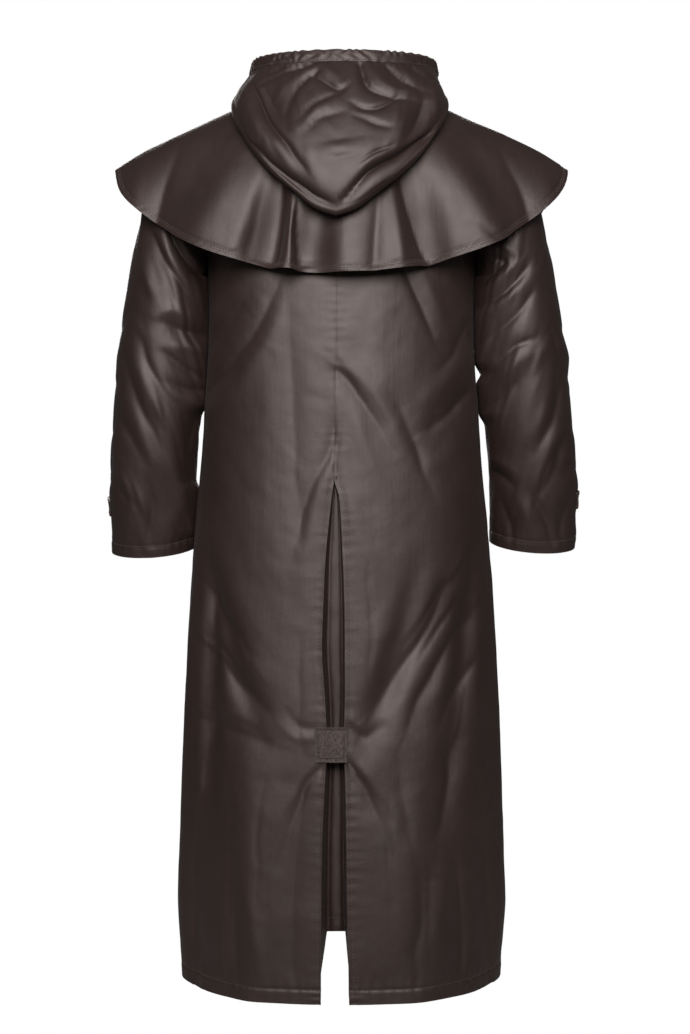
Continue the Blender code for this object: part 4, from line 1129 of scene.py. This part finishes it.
cape = Sheet(cape_surface, cape_across, cape_down, -1)
across, down = seen(cape.points)
at_back = cape.points[..., 1] > 0
pattern = np.where(at_back, creases(CAPE_BACK, across, down, 0.8),
                   creases(CAPE_FRONT, across, down))
turned_side = ease(np.abs(cape.points[..., 1]), 0.015, 0.060)
cape.press(CAPE_SHARE * pattern * turned_side * ease(cape.t, 0.6, 2.0))
cape.press(crumple(cape, 100, 0.0007, 0.060, 0.0004) * ease(cape.t, 0.0, 1.2))
# The corners beyond the shoulders are sharp: the cloth is flatter before and behind each of them
round_neck = np.abs(angle_at(CAPE_RINGS, cape.t, CAPE_EDGE_X, front=True) * (1.0 - 2.0 * cape.s))
beside = bump(round_neck, 72, 13) + bump(round_neck, 108, 13)
cape.press((0.0035 * bump(round_neck, 90, 6) - 0.0045 * beside)
           * ease(cape.t, CAPE_HEM - 2.2, CAPE_HEM))
middle_row = cape.to_bottom - sum(CAPE_HEM_ROWS) / 2
cape.press(0.0011 * puckers(middle_row, cape.run_s, 0.009, 0.0105, 102))
for edge in CAPE_HEM_ROWS:
    cape.press(-0.0011 * groove(cape.to_bottom - edge, 0.0012))
for edge in (cape.run_s, cape.to_right):
    cape.press(-0.0007 * groove(edge - CAPE_FRONT_ROW, 0.0015))
cape.set()

hood_across = np.linspace(0, 1, 241)
hood_down = np.concatenate((
    np.linspace(0, 1, 14)[:-1], np.linspace(1, 2, 13)[:-1], np.linspace(2, 3, 92)))


def hood_angles(s):
    return HOOD_FRONT_ANGLE * (1.0 - 2.0 * s)


hood = Sheet(lambda s, t: hood_points(hood_angles(s), t), hood_across, hood_down, 1)
across, down = seen(hood.points)
upper = ease(hood.t, 1.55, 2.05)
pattern = HOOD_SHARE * creases(HOOD_BACK, across, down, 1.2, 18.0) * (hood.points[..., 1] > 0)
hood.press(pattern * upper * hood.facing(0.05, 0.35) * ease(hood.to_bottom, 0.0, 0.010))
hood.press(crumple(hood, 110, 0.0006, 0.034, 0.0010) * upper * ease(hood.to_bottom, 0.0, 0.012))
gathers = puckers(hood.to_bottom, hood.s * 0.74, 0.015, 0.0105, 112)
hood.press(0.0021 * gathers * ease(hood.to_bottom, 0.001, 0.008) * upper)
hood.set()


def channel_points(s, t):
    degrees = hood_angles(s)
    # The elastic draws the rim into small uneven folds, and the channel is plump between
    wave = np.sin(math.pi * 84 * s + 5.0 * soft_noise(s * 26 + 2, t * 2.5 + 4, 120))
    wave = wave * (0.5 + 0.5 * soft_noise(s * 34 + 7, t * 2.0 + 1, 121))
    plump = np.sin(math.pi * np.clip(t, 0.0, 1.0)) ** 0.6
    out = 0.0011 * wave + 0.0009 * (plump - 0.5) + (CHANNEL_THICK - CLOTH) / 2 + 0.0008 * t
    side = np.abs(degrees)
    longer = CHANNEL_GAP * (2.2 * ease(side, 70.0, 115.0) + 3.0 * ease(side, 125.0, 155.0))
    lower = (CHANNEL_HEIGHT * 1.22 + longer) * t - 0.0009 * wave * (1.0 - t)
    return hood_rim(degrees, lower) + outward_xy(degrees, out)


channel = Sheet(channel_points, np.linspace(0, 1, 521), np.linspace(0, 1, 12), -1)
print("cape:", cape.s.shape, "hood:", hood.s.shape, "channel:", channel.s.shape)

# %% [markdown]
# ## Step 10: the vent and the front strip
# The vent is a slit that opens below the middle seam. A gusset is folded behind it, and a strap
# of webbing holds its edges together. At the front a strip carries the studs.

# %% Gusset, strap, front strip and cuff straps
gusset_across = np.concatenate([np.linspace(a[0], b[0], 7)[:-1] for a, b in
                                zip(GUSSET_CORNERS, GUSSET_CORNERS[1:])] + [[1.0]])
gusset = Sheet(gusset_points, gusset_across, np.linspace(0, 1, 120), -1)
gusset.press(crumple(gusset, 130, 0.0008, 0.05) * ease(gusset.t, 0.05, 0.3))
gusset.press(-0.0008 * groove(gusset.to_bottom - GUSSET_HEM) * ease(gusset.s, 0.3, 0.36))
gusset.set()


def strap_points(s, t):
    place = back_place(TAB_TOP_Z + (TAB_BOTTOM_Z - TAB_TOP_Z) * t)
    x = TAB_LEFT_X + (TAB_RIGHT_X - TAB_LEFT_X) * s
    return body_points(angle_at(BODY_RINGS, place, x), place)


strap = Sheet(strap_points, np.linspace(0, 1, 46), np.linspace(0, 1, 50), -1)
box = np.minimum.reduce([strap.run_s, strap.to_right, strap.run_t, strap.to_bottom])
strap.press(TAB_THICK + LAYER_GAP - 0.0015 * groove(box - 0.0040, 0.0018))
strap.press(-0.0015 * groove(strap.run_s - STRAP_MIDDLE_ROWS[1], 0.0018))
strap.press(0.0012 * soft_noise(strap.run_s / 0.0055, strap.run_t / 0.008, 140)
            * ease(strap.s, 0.42, 0.52) * ease(box, 0.002, 0.008))
strap.press(0.0005 * soft_noise(strap.run_s / 0.03, strap.run_t / 0.03, 141))
strap.set()


def placket_x(s):
    return OVERLAP_HALF - 2 * OVERLAP_HALF * s


def on_left_front(s, t):
    """Points of the left front under the strip, moved out by the front's own creases."""
    degrees = angle_at(BODY_RINGS, t, placket_x(s), front=True)
    start = front_angles(1, 0.0, t)
    share = (degrees - start) / (front_angles(1, 1.0, t) - start)
    front = fronts["left"]
    out = front.at(front.pressed, np.clip(share, 0, 1), t)
    return body_points(degrees, t) + outward_xy(degrees, OVERLAP_LIFT + out)


placket_rows = np.linspace(0.12, HEM_RING - 0.02, 220)
placket = Sheet(on_left_front, np.linspace(0, 1, 24), placket_rows, 1)
placket.press(CLOTH + LAYER_GAP)
for edge in (placket.run_s, placket.to_right):
    placket.press(-0.0005 * groove(edge - PLACKET_ROW, 0.0016))
    placket.press(0.00025 * (1 + puckers(edge - PLACKET_ROW, placket.run_t, 0.007, 0.017, 150)))
placket.set()

cuff_straps = {}
for side, word in ((1, "left"), (-1, "right")):
    sleeve = sleeves[word]
    middle = CUFF_RING - CUFF_TAB_RISE[side] / CUFF_STEP
    half = CUFF_TAB_HALF_WIDTH / CUFF_STEP

    def round_cuff(s, t, sleeve=sleeve, middle=middle, half=half):
        return sleeve.at(sleeve.points, (-0.30 + 0.345 * s) % 1.0, middle - half + 2 * half * t)

    tab = Sheet(round_cuff, np.linspace(0, 1, 60), np.linspace(0, 1, 14), -side)
    box = np.minimum.reduce([tab.run_s, tab.to_right, tab.run_t, tab.to_bottom])
    tab.press(CUFF_TAB_THICK + LAYER_GAP - 0.0004 * groove(box - CUFF_TAB_ROW, 0.0013))
    tab.set()
    cuff_straps[word] = tab
print("gusset:", gusset.s.shape, "strip:", placket.s.shape)

# %% [markdown]
# ## Step 11: the finishes
# The shell is a coated nylon: a tight weave under a smooth, slightly waxy film. Its gloss is
# what shows the creases, so its roughness and its bumps matter more than its colour.

# %% Materials
class Finish:
    """A new material, with short ways to add its nodes. Every texture is in object space."""

    def __init__(self, name):
        self.material = bpy.data.materials.new(name)
        self.material.use_nodes = True
        tree = self.material.node_tree
        self.nodes, self.links = tree.nodes, tree.links
        self.shader = self.nodes["Principled BSDF"]
        self.place = self.nodes.new("ShaderNodeTexCoord").outputs["Object"]

    def add(self, kind, joined=None, **settings):
        """Adds one node. Settings are its own or its sockets'; joined says what feeds what."""
        node = self.nodes.new("ShaderNode" + kind)
        for key, value in settings.items():
            if hasattr(node, key):
                setattr(node, key, value)
            else:
                node.inputs[key.replace("_", " ")].default_value = value
        for socket, source in (joined or {}).items():
            self.links.new(source, node.inputs[socket])
        return node

    def noise(self, scale, detail, roughness=0.5):
        return self.add("TexNoise", {"Vector": self.place}, Scale=scale, Detail=detail,
                        Roughness=roughness).outputs["Fac"]

    def colour(self, height, dark, light, start=0.0, end=1.0):
        ramp = self.add("ValToRGB", {"Fac": height})
        first, last = ramp.color_ramp.elements
        first.position, last.position = start, end
        first.color, last.color = (*dark, 1), (*light, 1)
        self.links.new(ramp.outputs["Color"], self.shader.inputs["Base Color"])

    def roughness(self, height, low, high):
        film = self.add("MapRange", {"Value": height}, To_Min=low, To_Max=high)
        self.links.new(film.outputs["Result"], self.shader.inputs["Roughness"])

    def set(self, **values):
        for key, value in values.items():
            self.shader.inputs[key.replace("_", " ")].default_value = value
        return self.material


def cloth_material(name, dark, light, rough, weave_scale, weave_depth, cloud_scale=9.0):
    """A woven, coated cloth: two sets of yarns, a faint crinkle, and colour that varies softly."""
    cloth = Finish(name)
    cloth.colour(cloth.noise(cloud_scale, 3.0, 0.55), dark, light, 0.32, 0.68)
    crinkle = cloth.noise(70.0, 4.0, 0.6)
    cloth.roughness(crinkle, *rough)
    yarns = [cloth.add("TexWave", {"Vector": cloth.place}, bands_direction=direction,
                       Scale=weave_scale, Distortion=0.6, Detail=1.0).outputs["Fac"]
             for direction in ("X", "Z")]
    weave = cloth.add("Math", {0: yarns[0], 1: yarns[1]}, operation="MAXIMUM")
    # Long faint streaks, down the cloth, where it was rolled on its bolt
    stretch = cloth.add("Mapping", {"Vector": cloth.place}, Scale=(1.0, 1.0, 0.10))
    streaks = cloth.add("TexNoise", {"Vector": stretch.outputs["Vector"]}, Scale=48.0,
                        Detail=3.0, Roughness=0.6)
    fine = cloth.add("Bump", {"Height": weave.outputs["Value"]}, Strength=0.6,
                     Distance=weave_depth)
    soft = cloth.add("Bump", {"Height": crinkle, "Normal": fine.outputs["Normal"]},
                     Strength=0.4, Distance=0.0007)
    streaked = cloth.add("Bump", {"Height": streaks.outputs["Fac"],
                                  "Normal": soft.outputs["Normal"]}, Strength=0.4, Distance=0.0013)
    cloth.links.new(streaked.outputs["Normal"], cloth.shader.inputs["Normal"])
    return cloth.set(Specular_IOR_Level=0.85, Specular_Tint=(1.0, 0.915, 0.89, 1.0),
                     Sheen_Weight=0.03, Sheen_Roughness=0.4)


shell = cloth_material("shell_cloth", (0.0232, 0.0115, 0.0088), (0.0303, 0.0163, 0.0128),
                       (0.47, 0.57), 420.0, 0.00006)
webbing = cloth_material("tab_webbing", (0.020, 0.012, 0.010), (0.105, 0.078, 0.071),
                         (0.50, 0.70), 190.0, 0.0009, 330.0)
twisted = Finish("thread")
twisted.colour(twisted.noise(900.0, 2.0), (0.050, 0.035, 0.031), (0.150, 0.112, 0.103))
thread = twisted.set(Roughness=0.62)

lacquer = Finish("stud_metal")
worn = lacquer.noise(260.0, 5.0)
lacquer.colour(worn, (0.016, 0.013, 0.012), (0.050, 0.041, 0.036))
lacquer.roughness(worn, 0.22, 0.42)
stud_metal = lacquer.set(Metallic=0.6)
print("materials:", [made.name for made in (shell, webbing, thread, stud_metal)])

# %% [markdown]
# ## Step 12: meshes from sheets
# Each sheet becomes one mesh from one grid. A Solidify modifier gives it the thickness of the
# cloth, inwards, so its outer face stays on the surface.

# %% Build the pieces
FINISHES = {"shell_cloth": shell, "tab_webbing": webbing}


def build(sheet, name, node, thick=CLOTH, slot="shell_cloth"):
    rows, columns = len(sheet.down) - 1, len(sheet.across) - 1
    grid = bmesh.new()
    bmesh.ops.create_grid(grid, x_segments=columns, y_segments=rows, size=0.5)
    mesh = mesh_of(grid, name)
    spots = np.empty(3 * len(mesh.vertices))
    mesh.vertices.foreach_get("co", spots)
    spots = spots.reshape(-1, 3)
    column = np.rint((spots[:, 0] + 0.5) * columns).astype(int)
    row = np.rint((0.5 - spots[:, 1]) * rows).astype(int)
    mesh.vertices.foreach_set("co", sheet.points[row, column].ravel())
    if sheet.outward > 0:
        mesh.flip_normals()
    grid = bmesh.new()
    grid.from_mesh(mesh)
    if sheet.around:
        bmesh.ops.remove_doubles(grid, verts=grid.verts, dist=1e-6)
    for face in grid.faces:
        face.smooth = True
    for edge in grid.edges:
        edge.smooth = not edge.is_boundary
    grid.to_mesh(mesh)
    grid.free()
    mesh.materials.append(FINISHES[slot])
    piece = placed(name, mesh)
    wall = piece.modifiers.new("cloth", "SOLIDIFY")
    wall.thickness, wall.offset = thick, -1.0
    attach(piece, "root")
    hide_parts(node)
    return piece


for word in ("left", "right"):
    for part, group in (("back", backs), ("front", fronts), ("sleeve", sleeves)):
        node = f"{part}_{word}"
        build(group[word], f"{node}_cloth", node)
    node = f"cuff_tab_{word}"
    build(cuff_straps[word], f"cuff_strap_{word}", node, CUFF_TAB_THICK)
build(cape, "cape_cloth", "cape")
build(hood, "hood_cloth", "hood")
build(channel, "hood_rim_channel", "hood_channel", CHANNEL_THICK)
build(gusset, "gusset_cloth", "gusset")
build(placket, "front_strip", "placket")
build(strap, "vent_strap", "vent_tab", TAB_THICK, "tab_webbing")

studs = ["cuff_stud_left", "cuff_stud_right"] + [f"stud_{n}" for n in range(1, STUD_COUNT + 1)]
for name in studs:
    for slot in frame["nodes"][name].material_slots:
        slot.material = stud_metal

# %% [markdown]
# ## Step 13: the stitching
# A machine's stitches are short capsules of thread, half sunk in the cloth. Each row keeps its
# distance from an edge, measured on the pressed sheet, so it follows every crease.

# %% Rows of stitches
STITCH_PITCH, STITCH_LENGTH, THREAD, THREAD_LIFT = 0.0046, 0.0033, 0.0013, 0.0002


def stitch_rows(name, rows):
    """One object from several rows; a row is points and normals in order. Gives their number."""
    made = bmesh.new()
    count = 0
    for points, normals in rows:
        steps = np.linalg.norm(np.diff(points, axis=0), axis=1)
        walked = np.concatenate(([0], np.cumsum(steps)))
        for start in np.arange(STITCH_PITCH / 2, walked[-1], STITCH_PITCH):
            ends = [start - STITCH_LENGTH / 2, start + STITCH_LENGTH / 2]
            first, last = np.array([np.interp(ends, walked, axis) for axis in points.T]).T
            up = Vector([np.interp(start, walked, axis) for axis in normals.T]).normalized()
            along = Vector(last - first).normalized()
            side = up.cross(along).normalized()
            place = Matrix((along * STITCH_LENGTH, side * THREAD, up * THREAD))
            place = place.transposed().to_4x4()
            place.translation = Vector((first + last) / 2) + up * THREAD_LIFT
            bmesh.ops.create_icosphere(made, subdivisions=1, radius=0.5, matrix=place)
            count += 1
    mesh = mesh_of(made, name)
    mesh.shade_smooth()
    mesh.materials.append(thread)
    piece = placed(name, mesh)
    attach(piece, "root")
    return count


def both_edges(sheet, far):
    """A row along each of a sheet's two long edges."""
    return [sheet.line(sheet.run_s, far, False), sheet.line(sheet.to_right, far, False)]


rows = {"cape": [cape.line(cape.to_bottom, edge) for edge in CAPE_HEM_ROWS]
        + both_edges(cape, CAPE_FRONT_ROW), "body": [], "sleeves": []}
for side, word in ((1, "left"), (-1, "right")):
    rows["body"] += [panels[word].line(panels[word].to_bottom, HEM_DEPTH)
                     for panels in (backs, fronts)]
    points, normals = backs[word].line(backs[word].run_s, VENT_ROW[side], False)
    in_vent = points[:, 2] < VENT_TOP_Z - 0.002
    rows["body"].append((points[in_vent], normals[in_vent]))
    sleeve, tab = sleeves[word], cuff_straps[word]
    rows["sleeves"] += [sleeve.line(sleeve.to_bottom, CUFF_HEM), tab.line(tab.run_t, CUFF_TAB_ROW),
                        tab.line(tab.to_bottom, CUFF_TAB_ROW)]
rows["hood"] = [channel.line(channel.run_t, CHANNEL_TOP_ROW),
                channel.line(channel.to_bottom, CHANNEL_LOWER_ROW)]
rows["front"] = both_edges(placket, PLACKET_ROW)
rows["vent"] = [strap.line(strap.run_t, STRAP_ROW), strap.line(strap.to_bottom, STRAP_ROW)]
rows["vent"] += both_edges(strap, STRAP_ROW)
rows["vent"] += [strap.line(strap.run_s, far, False) for far in STRAP_MIDDLE_ROWS]
points, normals = gusset.line(gusset.to_bottom, GUSSET_HEM)
rows["vent"].append((points[12:26], normals[12:26]))
# A short bar of close stitches holds the top of the vent
for rise in (0.0, 0.0016, 0.0032):
    spread = np.linspace(-0.0055, 0.0055, 9) + float(read(VENT_EDGES, VENT_TOP_Z, 1))
    place = back_place(np.full(9, VENT_TOP_Z - 0.001 + rise))
    degrees = angle_at(BODY_RINGS, place, spread)
    points = body_points(degrees, place) + outward_xy(degrees, 0.0012)
    rows["vent"].append((points, outward_xy(degrees, 1.0)))
print("stitches:", sum(stitch_rows(f"stitches_{name}", lines) for name, lines in rows.items()))

# %% [markdown]
# ## Step 14: each sheet's cut
# Every sheet's size along its own grid, flat, is printed with its area and the share of that size
# which its area fills. A wide hem or a gathered rim needs more cloth than it shows.

# %% Cuts
def cut(name, sheet, held, rests=()):
    width, length = float(sheet.run_s[:, -1].max()), float(sheet.run_t[-1].max())
    side = np.cross(np.gradient(sheet.points, axis=1), np.gradient(sheet.points, axis=0))
    area = float(np.linalg.norm(side, axis=-1)[:-1, :-1].sum())
    share = area / (width * length)
    print(f"{name:16s} {width:.3f} x {length:.3f} area {area:.4f} share {share:.2f}")


for word in ("left", "right"):
    cut(f"back_{word}", backs[word], "hung")
    cut(f"front_{word}", fronts[word], "hung")
    cut(f"sleeve_{word}", sleeves[word], "hung", [f"back_{word}"])
    cut(f"cuff_tab_{word}", cuff_straps[word], "laid", [f"sleeve_{word}"])
cut("cape", cape, "draped", ["back_left", "back_right"])
cut("hood", hood, "draped", ["cape"])
cut("hood_channel", channel, "gathered", ["hood"])
cut("gusset", gusset, "folded", ["back_left", "back_right"])
cut("placket", placket, "laid", ["front_left"])
cut("vent_tab", strap, "laid", ["back_left", "back_right"])

# %% [markdown]
# ## Step 15: floor and light
# A plain pale floor lies below the hem. One large soft lamp stands above the camera and one as
# large before the coat, so the cloth that faces a lamp is light and what turns away is dark.

# %% Floor, lamps and world
FLOOR_Z = -1.47
WHITE = (1.0, 1.0, 1.0, 1)


def by_camera(tree, others, camera_sees, output):
    """Shows one shader to the camera, and lights the coat by another."""
    ray, either = tree.nodes.new("ShaderNodeLightPath"), tree.nodes.new("ShaderNodeMixShader")
    tree.links.new(ray.outputs["Is Camera Ray"], either.inputs[0])
    tree.links.new(others.outputs[0], either.inputs[1])
    tree.links.new(camera_sees.outputs[0], either.inputs[2])
    tree.links.new(either.outputs[0], tree.nodes[output].inputs["Surface"])


grid = bmesh.new()
bmesh.ops.create_grid(grid, x_segments=8, y_segments=8, size=7.0)
mesh = mesh_of(grid, "floor")
mesh.transform(Matrix.Translation((0, 0, FLOOR_Z)))
floor = placed("floor", mesh)
pale = Finish("pale_floor")
pale.colour(pale.noise(3.0, 4.0), (0.30, 0.30, 0.30), (0.34, 0.34, 0.34))
mesh.materials.append(pale.set(Roughness=0.9))
shown = pale.add("Emission", Color=WHITE, Strength=1.0)
by_camera(pale.material.node_tree, pale.shader, shown, "Material Output")


LAMP_COLOUR, LAMP_SPREAD = (1.0, 0.965, 0.95), 115


def lamp(name, place, target, size, power):
    light = bpy.data.lights.new(name, "AREA")
    light.shape, light.size, light.size_y, light.energy = "RECTANGLE", size[0], size[1], power
    light.color = LAMP_COLOUR
    light.spread = math.radians(LAMP_SPREAD)
    made = placed(name, light)
    made.location = place
    made.rotation_euler = (Vector(target) - Vector(place)).to_track_quat("-Z", "Y").to_euler()


lamp("key", (0.05, 2.7, 0.85), (0, 0, -0.25), (2.2, 1.8), 41.5)
lamp("front_key", (0.3, -2.8, 0.7), (0, 0, -0.3), (2.2, 1.6), 33)

world = bpy.data.worlds.new("studio")
bpy.context.scene.world = world
world.use_nodes = True
lit = world.node_tree.nodes["Background"]
seen_white = world.node_tree.nodes.new("ShaderNodeBackground")
lit.inputs["Color"].default_value = seen_white.inputs["Color"].default_value = WHITE
lit.inputs["Strength"].default_value = 0.06
by_camera(world.node_tree, lit, seen_white, "World Output")
bpy.context.scene.view_settings.view_transform = "Standard"
